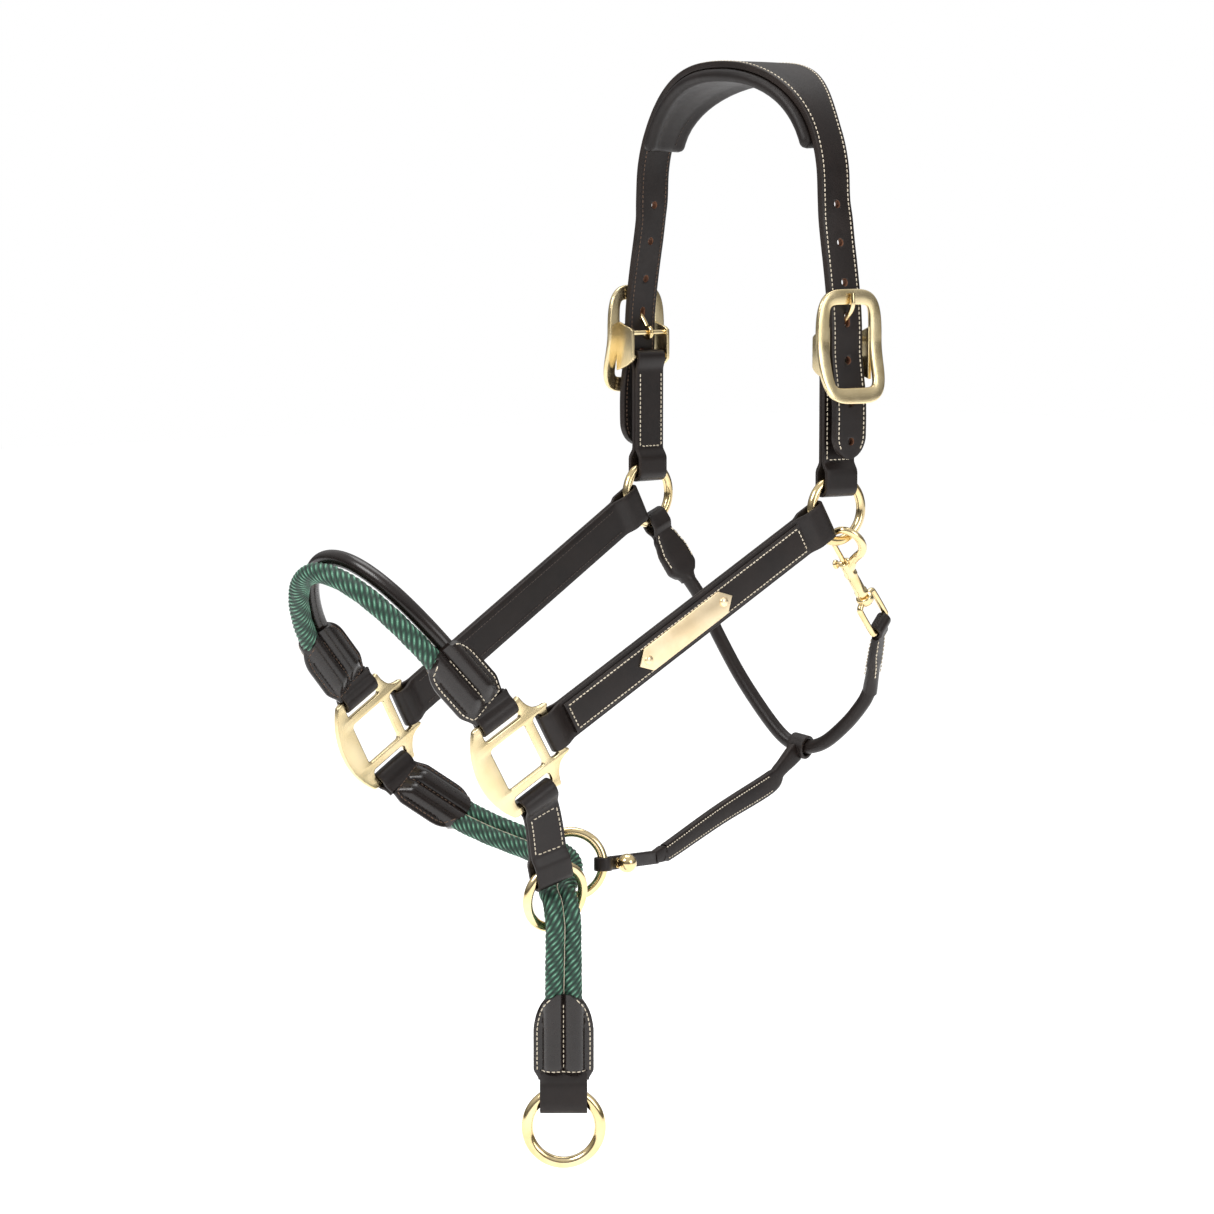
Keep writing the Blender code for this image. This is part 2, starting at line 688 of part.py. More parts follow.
def make_chin():
    """The near chin strap, from the square fitting to the chin ring, and the two lower rings."""
    near = SIDES[NEAR]
    bar = near.square - near.across_cheek * BAR_CENTRE
    bar_line = -near.cheek
    leave = square_to(CHIN_RING - bar, bar_line)
    arrive = square_to(CHIN_RING - bar, CHIN_RING_NORMAL)
    wire = CHIN_RING - arrive * RING_RADIUS
    points = bezier(bar, bar + leave * 18, wire - arrive * 18, wire, 8)
    length = sum((b - a).length for a, b in zip(points, points[1:]))
    ring_line = CHIN_RING_NORMAL.cross(arrive)
    if ring_line.dot(bar_line) < 0:
        ring_line = -ring_line
    spine = [(p, bar_line.lerp(ring_line, smooth_step(0.1, 0.9, k / 8)))
             for k, p in enumerate(points)]
    corner, radius, far = ring_eye(RING_RADIUS, RING_WIRE, STRAP_WIDTH, LAYER)
    start = (0, BAR_EYE + 0.7 + LAYER / 2, 1.5, 8)
    end = (length + RING_RADIUS - corner, radius, length + RING_RADIUS - far, 8)
    path = doubled_path(start, end, (LAYER + GAP) / 2)
    twisting_band("near_chin_strap", spine, length, path, STRAP_WIDTH, LAYER, LEATHER)
    ring("chin_ring", CHIN_RING, CHIN_RING_NORMAL, RING_RADIUS, RING_WIRE, BRASS)
    ring("back_ring", BACK_RING, BACK_RING_NORMAL, RING_RADIUS, RING_WIRE, BRASS)


# ---------------------------------------------------------------- throat and back strap
THROAT_ROUTE = [Vector(p) for p in (
    (17.3, 79.8, -328.4), (27, 75, -345), (34, 63, -372), (40, 44, -402), (46, 17, -432),
    (50, 0, -440), (54, -17, -437), (59, -34, -423), (62, -47, -408), (63, -53, -398))]


def make_throat():
    off = SIDES[OFF]
    turn = math.radians(21.5)
    down = -off.forward * math.sin(turn) - UP * math.cos(turn)
    tangent = off.forward * math.cos(turn) - UP * math.sin(turn)
    wire = off.ring + down * RING_RADIUS
    along = THROAT_TAB_END - wire
    width = 13.0
    corner, radius, far = ring_eye(RING_RADIUS, RING_WIRE, width, LAYER)
    tab("off_throat_tab", wire, tangent, along, width,
        (corner - RING_RADIUS, radius, far - RING_RADIUS, 6),
        ((9, 16, 6), (15, 21, 6.5), (25, 25, 7), (34, 24.5, 8), (along.length - 0.8, 14, 10)))
    tube("throat_roll", through(THROAT_ROUTE, 4), THROAT_ROLL_RADIUS, LEATHER, sides=2)


def make_back_strap():
    """A loop round the throat roll, a doubled strap, and a thin billet folded round the ring."""
    middle = THROAT_ROUTE[5]
    throat_along = (THROAT_ROUTE[6] - THROAT_ROUTE[4]).normalized()
    wire = BACK_RING + LEAD_ACROSS * RING_RADIUS
    ring_line = BACK_RING_NORMAL.cross(LEAD_ACROSS)
    along = square_to(Vector((-108, -35, -485)) - wire, ring_line)
    tail = wire + along * 64
    lead_off = (Vector((26, -5, -454)) - middle).normalized()
    stations = [(middle + lead_off * 6.8, 13), (middle + lead_off * 14, 13), (Vector((26, -5, -454)), 10),
                (Vector((14, -8, -461)), 14), (Vector((-40, -19, -475)), 13),
                (tail + Vector((15, 3.5, 2.4)), 11.5), (tail, 8)]
    across = Vector((0.1, 0.1, 1))
    strap = lofted_strap("back_strap", [(p, across, w) for p, w in stations], 4.4, LEATHER)

    inner = THROAT_ROLL_RADIUS + GAP + 1.2
    hoop = arc((0, 0), inner + LAYER / 2, 0, 360, 20)[:-1]
    base = axes(middle, square_to(lead_off, throat_along), throat_along)
    collar = band("collar", base, hoop, 11, LAYER, LEATHER)
    combine(strap, [collar])

    base = axes(wire, along, ring_line)
    path = fold_path(-0.6, RING_WIRE + GAP + 1.2, 1, 7, 1.1, 61.6)
    band("back_billet", base, path, 8, 1.8, LEATHER, closed=False)
    outward = base.to_3x3() @ Vector((0, 1, 0))
    outward = outward if outward.y < 0 else -outward
    foot = wire + along * 14
    ball = foot + outward * (2.0 + GAP + 1.6 + 5.2)
    bpy.ops.mesh.primitive_uv_sphere_add(segments=20, ring_count=12, radius=6 * MM,
                                         location=ball * MM)
    stud = bpy.context.object
    stud.name = "ball_stud"
    adopt(stud, BRASS)
    neck = rod("neck", foot + outward * (2.0 + GAP), ball, 2.4, BRASS)
    combine(stud, [neck])
    rod("stud_base", foot - outward * (2.0 + GAP), foot - outward * (3.3 + GAP), 4.0, BRASS, 20)


# ---------------------------------------------------------------- swivel snap
SNAP_HANG = math.radians(20)      # where its hook sits on the near ring, behind straight down
SNAP_AXIS = Vector((0.657, 0.106, -0.746)).normalized()
SNAP_SIDE = Vector((0.35, -0.79, 0.12))
HOOK_LONG, HOOK_WIDE, HOOK_WIRE = 12.0, 9.5, 2.5
BARREL_SIDE, BARREL_TOP, BARREL_END, BARREL_RADIUS = -9.0, 15.0, 46.0, 4.0
BORE_RADIUS, BOLT_RADIUS = 2.3, 1.6
EYE_BAR, EYE_HALF, EYE_WIRE = 74.0, 9.5, 2.0


def make_snap():
    """A bolt snap: hook body, sliding thumb bolt with its spring, and the swivelling eye."""
    near = SIDES[NEAR]
    wire = near.ring + (-near.forward * math.sin(SNAP_HANG) - UP * math.cos(SNAP_HANG)) * RING_RADIUS
    side = square_to(SNAP_SIDE, SNAP_AXIS)
    face = SNAP_AXIS.cross(side)
    centre = wire + SNAP_AXIS * (HOOK_LONG - RING_WIRE - HOOK_WIRE - 2.1)

    def at(along, across, deep=0.0):
        return centre + SNAP_AXIS * along + side * across + face * deep

    def on_axis(along):
        return at(along, BARREL_SIDE)

    hook = []
    for angle in range(-52, 166, 14):
        turn = math.radians(angle)
        hook.append(at(-HOOK_LONG * math.cos(turn), HOOK_WIDE * math.sin(turn)))
    hook += [at(15, -2.5), at(21, -7)]
    body = to_mesh(tube("snap_hook", hook, HOOK_WIRE, BRASS, sides=3))
    barrel = rod("barrel", on_axis(BARREL_TOP), on_axis(BARREL_END), BARREL_RADIUS, BRASS, 20)
    pin = rod("pin", on_axis(BARREL_END - 2), on_axis(BARREL_END + 8), 1.8, BRASS)
    head = rod("head", on_axis(BARREL_END + 6.6), on_axis(BARREL_END + 8.4), 3.4, BRASS)
    combine(body, [barrel, pin, head])
    bore = rod("bore", on_axis(8), on_axis(40), BORE_RADIUS, BRASS, 16)
    slit = box("slit", axes(centre, SNAP_AXIS, face), (11, BARREL_SIDE - 7, -2.0),
               (26, BARREL_SIDE, 2.0), BRASS)
    combine(body, [bore, slit], "DIFFERENCE")

    bolt = rod("snap_bolt", on_axis(-3.2), on_axis(28), BOLT_RADIUS, BRASS)
    knob = rod("knob", at(16.2, BARREL_SIDE), at(16.2, BARREL_SIDE - 6.5), 1.6, BRASS)
    pad = rod("pad", at(16.2, BARREL_SIDE - 5.2), at(16.2, BARREL_SIDE - 7.6), 3.0, BRASS)
    combine(bolt, [knob, pad])

    spring = []
    for k in range(6 * 8 + 1):
        turn = 2 * math.pi * k / 8
        spring.append(at(29 + 10 * k / 48, BARREL_SIDE + 1.5 * math.cos(turn),
                         1.5 * math.sin(turn)))
    tube("snap_spring", spring, 0.35, BRASS, sides=1)

    bar_middle = on_axis(EYE_BAR)
    tab_along = THROAT_ROUTE[-1] - bar_middle
    cross = square_to(Vector((0.731, 0.152, 0.665)), SNAP_AXIS)
    collar_low, collar_high = BARREL_END + 0.6, BARREL_END + 6.0
    loop = []
    for along, across in ((collar_low + 3, 4), (collar_low + 4, EYE_HALF - 1), (54, EYE_HALF),
                          (EYE_BAR - 3, EYE_HALF), (EYE_BAR - 0.8, EYE_HALF - 0.8),
                          (EYE_BAR, EYE_HALF - 3)):
        loop.append(on_axis(along) + cross * across)
    mirrored = [p - cross * 2 * (p - on_axis(0)).dot(cross) for p in reversed(loop)]
    eye = to_mesh(tube("snap_eye", loop + mirrored, EYE_WIRE, BRASS, sides=2))
    combine(eye, [rod("collar", on_axis(collar_low), on_axis(collar_high), 5.4, BRASS, 20)])
    combine(eye, [rod("hole", on_axis(40), on_axis(60), 2.15, BRASS)], "DIFFERENCE")

    tab("near_throat_tab", bar_middle, cross, tab_along, 13.0,
        (0, EYE_WIRE + GAP + 0.3 + LAYER / 2, 1, 6),
        ((9, 14, 6), (20, 16, 6.5), (34, 13, 8), (tab_along.length - 2.4, 9.5, 9.5)))


# ---------------------------------------------------------------- build
clear_scene()
PARTS = new_collection("leather_headcollar")
TOOLS = new_collection("cutters")
LEATHER = make_material("dark_brown_leather", (0.022, 0.016, 0.014), 0.42)
LINING = make_material("padded_lining", (0.026, 0.021, 0.020), 0.6)
ROPE = make_material("green_rope", (0.016, 0.075, 0.05), 0.75)
BRASS = make_material("pale_brass", (0.80, 0.66, 0.36), 0.22, 1.0)
SIDES = {sign: Side(sign) for sign in (NEAR, OFF)}

make_headpiece(SIDES[NEAR], SIDES[OFF])
for this_side in SIDES.values():
    make_buckle(this_side)
    make_chape(this_side)
    ring(f"{this_side.name}_ring", this_side.ring, this_side.out, RING_RADIUS, RING_WIRE, BRASS)
    plate_face = make_cheek(this_side)
make_name_plate(SIDES[NEAR], plate_face)
make_nose(SIDES[NEAR], SIDES[OFF])
make_control()
make_lead_end()
make_chin()
make_throat()
make_back_strap()
make_snap()
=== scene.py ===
"""Visual model of a leather headcollar with a rope and rolled noseband."""
import math
import random

import bmesh
import bpy
from mathutils import Matrix, Vector


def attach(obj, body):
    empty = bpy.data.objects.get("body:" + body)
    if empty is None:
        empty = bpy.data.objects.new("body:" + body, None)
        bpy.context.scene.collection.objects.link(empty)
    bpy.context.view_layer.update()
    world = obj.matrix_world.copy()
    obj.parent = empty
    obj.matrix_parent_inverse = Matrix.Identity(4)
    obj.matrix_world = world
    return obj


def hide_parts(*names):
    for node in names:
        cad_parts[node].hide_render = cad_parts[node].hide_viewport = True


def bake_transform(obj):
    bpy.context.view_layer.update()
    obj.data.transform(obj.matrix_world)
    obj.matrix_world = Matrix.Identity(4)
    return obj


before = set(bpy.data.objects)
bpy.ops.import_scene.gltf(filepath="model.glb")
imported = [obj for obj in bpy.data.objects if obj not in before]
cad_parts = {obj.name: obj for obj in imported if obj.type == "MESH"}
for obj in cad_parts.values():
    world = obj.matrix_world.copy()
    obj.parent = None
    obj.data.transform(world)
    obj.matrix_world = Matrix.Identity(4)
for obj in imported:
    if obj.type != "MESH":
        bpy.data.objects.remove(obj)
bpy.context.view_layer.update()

# Shapes are drawn in millimetres, and finish_mesh scales them to metres.
MM = 0.001
UP = Vector((0, 0, 1))
NEAR, OFF = -1, 1
STRAP, LAYER, GAP = 25.0, 2.2, 0.3
RING_R, RING_WIRE = 20.0, 3.0
RING_X, RING_Y, RING_Z = -6.0, 92.0, -273.0
SQUARE = (-250.0, 71.5, -411.0)
BUCKLE_RISE = 104.0
CHIN_RING = Vector((-214, -64, -501))
CHIN_NORMAL = Vector((-0.097, -0.976, -0.174)).normalized()
BACK_RING = Vector((-186, -45, -487))
BACK_NORMAL = Vector((-0.64, -0.76, 0.10)).normalized()
LEAD = Vector((-213.7, -71.5, 0))
LEAD_ACROSS = Vector((0.766, -0.643, 0)).normalized()
LEAD_RING_Z, LEAD_RING_R, LEAD_WIRE = -643.5, 22.4, 3.6
BAR_CENTRE, BAR_EYE = 29.3, 3.3
FOLD_WIDTH, TAB_START, EDGE_INSET = 27.6, 6.5, 2.3
PITCH, OUTER_THREAD, INNER_THREAD = 3.0, 0.42, 0.38


# ---------------------------------------------------------------- camera, in metres
VIEW_TURN, VIEW_RISE, VIEW_REACH = math.radians(-40), math.radians(6.1), 2.3
VIEW_AIM = Vector((-0.119, 0, -0.335))


def make_camera():
    level = math.cos(VIEW_RISE)
    back = Vector((math.sin(VIEW_TURN) * level, -math.cos(VIEW_TURN) * level,
                   math.sin(VIEW_RISE)))
    right = UP.cross(back).normalized()
    facing = Matrix((right, back.cross(right), back)).transposed().to_4x4()
    data = bpy.data.cameras.new("camera")
    data.lens, data.sensor_width = 107.1, 36
    camera = bpy.data.objects.new("camera", data)
    bpy.context.scene.collection.objects.link(camera)
    camera.matrix_world = Matrix.Translation(VIEW_AIM + back * VIEW_REACH) @ facing
    bpy.context.scene.camera = camera


# ---------------------------------------------------------------- materials
def material(name):
    made = bpy.data.materials.new(name)
    made.use_nodes = True
    tree = made.node_tree
    return made, tree, tree.nodes["Principled BSDF"]


def ramp(tree, stops, source):
    node = tree.nodes.new("ShaderNodeValToRGB")
    node.color_ramp.elements[0].position = stops[0][0]
    node.color_ramp.elements[0].color = (*stops[0][1], 1)
    node.color_ramp.elements[1].position = stops[-1][0]
    node.color_ramp.elements[1].color = (*stops[-1][1], 1)
    for place, colour in stops[1:-1]:
        node.color_ramp.elements.new(place).color = (*colour, 1)
    tree.links.new(source, node.inputs["Fac"])
    return node.outputs["Color"]


def noise(tree, scale, detail=4.0, rough=0.55, coords=None):
    node = tree.nodes.new("ShaderNodeTexNoise")
    node.inputs["Scale"].default_value = scale
    node.inputs["Detail"].default_value = detail
    node.inputs["Roughness"].default_value = rough
    source = coords or tree.nodes.new("ShaderNodeTexCoord").outputs["Object"]
    tree.links.new(source, node.inputs["Vector"])
    return node.outputs["Fac"]


def bump(tree, shader, heights):
    """Chains bumps given as (height socket, strength, distance in metres)."""
    last = None
    for height, strength, distance in heights:
        node = tree.nodes.new("ShaderNodeBump")
        node.inputs["Strength"].default_value = strength
        node.inputs["Distance"].default_value = distance
        tree.links.new(height, node.inputs["Height"])
        if last:
            tree.links.new(last, node.inputs["Normal"])
        last = node.outputs["Normal"]
    tree.links.new(last, shader.inputs["Normal"])


def to_range(tree, source, low, high):
    node = tree.nodes.new("ShaderNodeMapRange")
    node.inputs["To Min"].default_value = low
    node.inputs["To Max"].default_value = high
    tree.links.new(source, node.inputs["Value"])
    return node.outputs["Result"]


def leather(name, dark, light, rough, grain=0.25, coat=0.0):
    made, tree, shader = material(name)
    soft = noise(tree, 45, 5, 0.6)
    colour = ramp(tree, [(0.3, dark), (0.72, light)], soft)
    tree.links.new(colour, shader.inputs["Base Color"])
    tree.links.new(to_range(tree, noise(tree, 160, 3), rough - 0.07, rough + 0.09),
                   shader.inputs["Roughness"])
    cells = tree.nodes.new("ShaderNodeTexVoronoi")
    cells.feature = "DISTANCE_TO_EDGE"
    cells.inputs["Scale"].default_value = 1300
    tree.links.new(tree.nodes.new("ShaderNodeTexCoord").outputs["Object"], cells.inputs["Vector"])
    bump(tree, shader, [(cells.outputs["Distance"], grain, 0.0002),
                        (noise(tree, 2600, 3), grain * 0.6, 0.0001),
                        (noise(tree, 120, 3), 0.12, 0.0006)])
    shader.inputs["Specular IOR Level"].default_value = 0.32
    shader.inputs["Coat Weight"].default_value = coat
    shader.inputs["Coat Roughness"].default_value = 0.2
    return made


def brass(name, dark, light, rough):
    made, tree, shader = material(name)
    colour = ramp(tree, [(0.35, dark), (0.65, light)], noise(tree, 60, 3))
    tree.links.new(colour, shader.inputs["Base Color"])
    shader.inputs["Metallic"].default_value = 1.0
    tree.links.new(to_range(tree, noise(tree, 120, 3), rough - 0.04, rough + 0.05),
                   shader.inputs["Roughness"])
    bump(tree, shader, [(noise(tree, 60, 2), 0.05, 0.0004)])
    return made


def thread(name, dark, light):
    made, tree, shader = material(name)
    colour = ramp(tree, [(0.3, dark), (0.7, light)], noise(tree, 700, 3))
    tree.links.new(colour, shader.inputs["Base Color"])
    shader.inputs["Roughness"].default_value = 0.75
    bump(tree, shader, [(noise(tree, 4000, 2), 0.3, 0.0001)])
    return made


def woven_rope():
    made, tree, shader = material("green_rope_weave")
    # The strand attribute holds each vertex's ridge height; the ramp below turns it into painted
    # shade in the grooves and painted highlights on the crests, over the rope's own dark green.
    strand = tree.nodes.new("ShaderNodeAttribute")
    strand.attribute_name = "strand"
    mix = tree.nodes.new("ShaderNodeMath")
    mix.operation = "MULTIPLY_ADD"
    mix.inputs[1].default_value = 0.35
    tree.links.new(noise(tree, 1500, 4, 0.65), mix.inputs[0])
    tree.links.new(strand.outputs["Fac"], mix.inputs[2])
    # The near-black low stops are painted groove shade and the pale top stop is a painted crest
    # highlight.
    colour = ramp(tree, [(0.15, (0.002, 0.008, 0.006)), (0.42, (0.006, 0.030, 0.018)),
                         (0.68, (0.013, 0.062, 0.036)), (0.86, (0.040, 0.140, 0.085)),
                         (1.0, (0.17, 0.38, 0.26))], mix.outputs[0])
    tree.links.new(colour, shader.inputs["Base Color"])
    shader.inputs["Roughness"].default_value = 0.55
    shader.inputs["Sheen Weight"].default_value = 0.08
    shader.inputs["Sheen Roughness"].default_value = 0.4
    bump(tree, shader, [(noise(tree, 2400, 3), 0.35, 0.0002)])
    return made


LEATHER = leather("bridle_leather", (0.0062, 0.0036, 0.0029), (0.0130, 0.0078, 0.0062), 0.38)
GLOSSY = leather("padded_leather", (0.0065, 0.0040, 0.0033), (0.0135, 0.0085, 0.0070),
                 0.26, 0.07, 0.3)
INSIDE = leather("flesh_side_leather", (0.0075, 0.0048, 0.0040), (0.015, 0.0098, 0.0082), 0.52, 0.4)
LINING = leather("lining_leather", (0.0065, 0.0042, 0.0037), (0.013, 0.0088, 0.0076), 0.44, 0.5)
EDGE = leather("edge_leather", (0.008, 0.0048, 0.0038), (0.019, 0.0115, 0.0085), 0.50, 0.5)
RAW = leather("raw_edge_leather", (0.10, 0.040, 0.020), (0.23, 0.105, 0.058), 0.75, 0.6)
BRASS = brass("polished_brass", (0.74, 0.57, 0.29), (0.86, 0.70, 0.42), 0.14)
SATIN = brass("satin_brass", (0.76, 0.61, 0.34), (0.85, 0.71, 0.44), 0.25)
PLATE = brass("plate_brass", (0.86, 0.68, 0.42), (0.95, 0.78, 0.52), 0.33)
STEEL = brass("spring_steel", (0.45, 0.44, 0.42), (0.62, 0.60, 0.57), 0.25)
THREAD = thread("cream_thread", (0.50, 0.42, 0.30), (0.80, 0.72, 0.58))
DARK_THREAD = thread("dark_thread", (0.03, 0.022, 0.018), (0.07, 0.05, 0.04))
BROWN_THREAD = thread("brown_thread", (0.06, 0.034, 0.022), (0.14, 0.085, 0.055))
ROPE = woven_rope()


# ---------------------------------------------------------------- geometry
def axes(origin, x_axis, z_axis):
    x = x_axis.normalized()
    z = (z_axis - z_axis.dot(x) * x).normalized()
    facing = Matrix((x, z.cross(x), z)).transposed().to_4x4()
    return Matrix.Translation(origin) @ facing


def square_to(vector, direction):
    unit = direction.normalized()
    return (vector - vector.dot(unit) * unit).normalized()


def side_of(direction):
    """Some direction square to this one."""
    return square_to(UP if abs(direction.z) < 0.9 else Vector((1, 0, 0)), direction)


def smooth_step(low, high, value):
    t = min(1.0, max(0.0, (value - low) / (high - low)))
    return t * t * (3 - 2 * t)


def arc(centre, radius, start, end, steps):
    made = []
    for k in range(steps + 1):
        angle = math.radians(start + (end - start) * k / steps)
        made.append((centre[0] + radius * math.cos(angle), centre[1] + radius * math.sin(angle)))
    return made


def bezier(p0, p1, p2, p3, steps):
    made = []
    for k in range(steps + 1):
        t = k / steps
        s = 1 - t
        made.append(p0 * s**3 + p1 * 3 * s * s * t + p2 * 3 * s * t * t + p3 * t**3)
    return made


def through(points, per_span):
    """A Catmull-Rom curve through points of any kind that can be added and scaled."""
    ends = [points[0] * 2 - points[1], *points, points[-1] * 2 - points[-2]]
    made = []
    for k in range(len(points) - 1):
        a, b, c, d = ends[k:k + 4]
        for step in range(per_span):
            t = step / per_span
            made.append((b * 2 + (c - a) * t + (a * 2 - b * 5 + c * 4 - d) * t * t
                         + (b * 3 - a - c * 3 + d) * t**3) / 2)
    made.append(points[-1] * 1)
    return made


class Line:
    """A path with a direction across it, read by distance along it in millimetres."""

    def __init__(self, points, acrosses, closed=False):
        self.points = points
        self.acrosses = acrosses
        self.closed = closed
        self.steps = [0.0]
        for a, b in zip(points, points[1:]):
            self.steps.append(self.steps[-1] + (b - a).length)
        self.length = self.steps[-1] + ((points[0] - points[-1]).length if closed else 0)

    def frame(self, distance):
        """(point, tangent, across, normal) at a distance."""
        if self.closed:
            distance %= self.length
        else:
            distance = min(max(distance, 0), self.length)
        count = len(self.points)
        low, high = 0, count - 1
        while high - low > 1:
            middle = (low + high) // 2
            if self.steps[middle] <= distance:
                low = middle
            else:
                high = middle
        if self.closed and distance > self.steps[-1]:
            low, high = count - 1, 0
            span = self.length - self.steps[-1]
        else:
            span = self.steps[high] - self.steps[low]
        share = (distance - self.steps[low]) / max(span, 1e-9)
        point = self.points[low].lerp(self.points[high], share)
        run = (self.tangent(low) * (1 - share) + self.tangent(high) * share).normalized()
        across = square_to(self.acrosses[low].lerp(self.acrosses[high], share), run)
        return point, run, across, across.cross(run)

    def tangent(self, k):
        count = len(self.points)
        if self.closed:
            return (self.points[(k + 1) % count] - self.points[k - 1]).normalized()
        return (self.points[min(k + 1, count - 1)] - self.points[max(k - 1, 0)]).normalized()

    def at(self, distance, a=0.0, n=0.0):
        point, _, across, normal = self.frame(distance)
        return point + across * a + normal * n


def finish_mesh(name, shape, materials, body, replaced=(), smooth=40):
    bmesh.ops.recalc_face_normals(shape, faces=shape.faces)
    mesh = bpy.data.meshes.new(name)
    shape.to_mesh(mesh)
    shape.free()
    mesh.transform(Matrix.Scale(MM, 4))
    for item in materials:
        mesh.materials.append(item)
    made = bpy.data.objects.new(name, mesh)
    bpy.context.scene.collection.objects.link(made)
    mesh.shade_smooth()
    mesh.set_sharp_from_angle(angle=math.radians(smooth))
    if body:
        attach(made, body)
    if replaced:
        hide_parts(*replaced)
    return made


def loft(shape, rows, closed=False, slot=None):
    """Quads between rows of equally many points, each row a closed outline."""
    made = [[shape.verts.new(p) for p in row] for row in rows]
    count = len(made[0])
    for row, after in zip(made, made[1:] + made[:1] if closed else made[1:]):
        for k in range(count):
            j = (k + 1) % count
            face = shape.faces.new((row[k], row[j], after[j], after[k]))
            if slot:
                face.material_index = slot[k]
    if not closed:
        for row in (made[0], made[-1]):
            face = shape.faces.new(row)
            face.material_index = slot[0] if slot else 0
    return made


# Materials round a strap's outline: 0 is the outer face, 1 the edges and 2 the inner face.
STRAP_SLOTS = [0] * 8 + [1] * 7 + [2] * 8 + [1] * 7


def strap_profile(width, thick, crown, radius):
    """Outline of a strap across its length as (across, normal)."""
    half, deep = width / 2, thick / 2
    radius = min(radius, deep * 0.9)
    flat = [(-half + radius) + (width - 2 * radius) * k / 8 for k in range(9)]
    edge = []
    for rise, angles in ((deep - radius, (60, 30, 0)), (radius - deep, (0, -30, -60))):
        for angle in angles:
            turn = math.radians(angle)
            edge.append((half - radius + radius * math.cos(turn),
                         rise + radius * math.sin(turn)))
    return ([(a, deep + crown * (1 - (a / half) ** 2) * 0.6) for a in flat] + edge
            + [(a, -deep) for a in reversed(flat)] + [(-a, n) for a, n in reversed(edge)])


def strap_mesh(name, rows, closed, body, replaced):
    shape = bmesh.new()
    loft(shape, rows, closed, STRAP_SLOTS)
    return finish_mesh(name, shape, (LEATHER, EDGE, INSIDE), body, replaced)


def strap(name, line, width, thick, replaced, crown, step):
    """A leather strap along an open line. width is a number or a function of distance."""
    count = max(8, int(line.length / step))
    rows = []
    for k in range(count + 1):
        distance = line.length * k / count
        wide = width(distance) if callable(width) else width
        point, _, across, normal = line.frame(distance)
        rows.append([point + across * a + normal * n
                     for a, n in strap_profile(wide, thick, crown, 0.7)])
    return strap_mesh(name, rows, False, "harness", replaced)


def line_strap(name, line, width, thick, body, replaced):
    """A thin strap of one width, with an outline at each point of the line."""
    outline = strap_profile(width, thick, 0.15, 0.6)
    rows = []
    for k, point in enumerate(line.points):
        run = line.tangent(k)
        across = square_to(line.acrosses[k], run)
        normal = across.cross(run)
        rows.append([point + across * a + normal * n for a, n in outline])
    return strap_mesh(name, rows, line.closed, body, replaced)


def circle(centre, across, normal, radius, sides):
    turns = [2 * math.pi * j / sides for j in range(sides)]
    return [centre + across * radius * math.cos(t) + normal * radius * math.sin(t) for t in turns]


def round_tube(shape, line, radius, sides, step):
    """A round solid along a line. radius is a number or a function of distance."""
    count = max(4, int(line.length / step))
    rows = []
    for k in range(count if line.closed else count + 1):
        distance = line.length * k / count
        point, _, across, normal = line.frame(distance)
        reach = radius(distance) if callable(radius) else radius
        rows.append(circle(point, across, normal, reach, sides))
    loft(shape, rows, line.closed)


def tube_piece(name, line, radius, sides, step, faces, body, replaced):
    shape = bmesh.new()
    round_tube(shape, line, radius, sides, step)
    return finish_mesh(name, shape, faces, body, replaced, 60)


def turned(shape, start, end, outline, sides):
    """A turned solid from start towards end; outline is (distance, radius) pairs."""
    along = (end - start).normalized()
    across = side_of(along)
    other = along.cross(across)
    loft(shape, [circle(start + along * distance, across, other, radius, sides)
                 for distance, radius in outline])


def turned_piece(name, start, end, outline, sides, faces, replaced):
    shape = bmesh.new()
    turned(shape, start, end, outline, sides)
    finish_mesh(name, shape, faces, "harness", replaced, 60)


def capsule(length, radius, bevel):
    return [(0, radius - bevel), (bevel * 0.3, radius - bevel * 0.3), (bevel, radius),
            (length - bevel, radius), (length - bevel * 0.3, radius - bevel * 0.3),
            (length, radius - bevel)]


def torus(name, centre, normal, radius, wire, body, replaced):
    shape = bmesh.new()
    across = side_of(normal)
    other = normal.normalized().cross(across)
    rows = []
    for k in range(96):
        turn = 2 * math.pi * k / 96
        outward = across * math.cos(turn) + other * math.sin(turn)
        rows.append([centre + outward * (radius + wire * math.cos(2 * math.pi * j / 28))
                     + normal.normalized() * wire * math.sin(2 * math.pi * j / 28)
                     for j in range(28)])
    loft(shape, rows, True)
    return finish_mesh(name, shape, (BRASS,), body, replaced, 80)


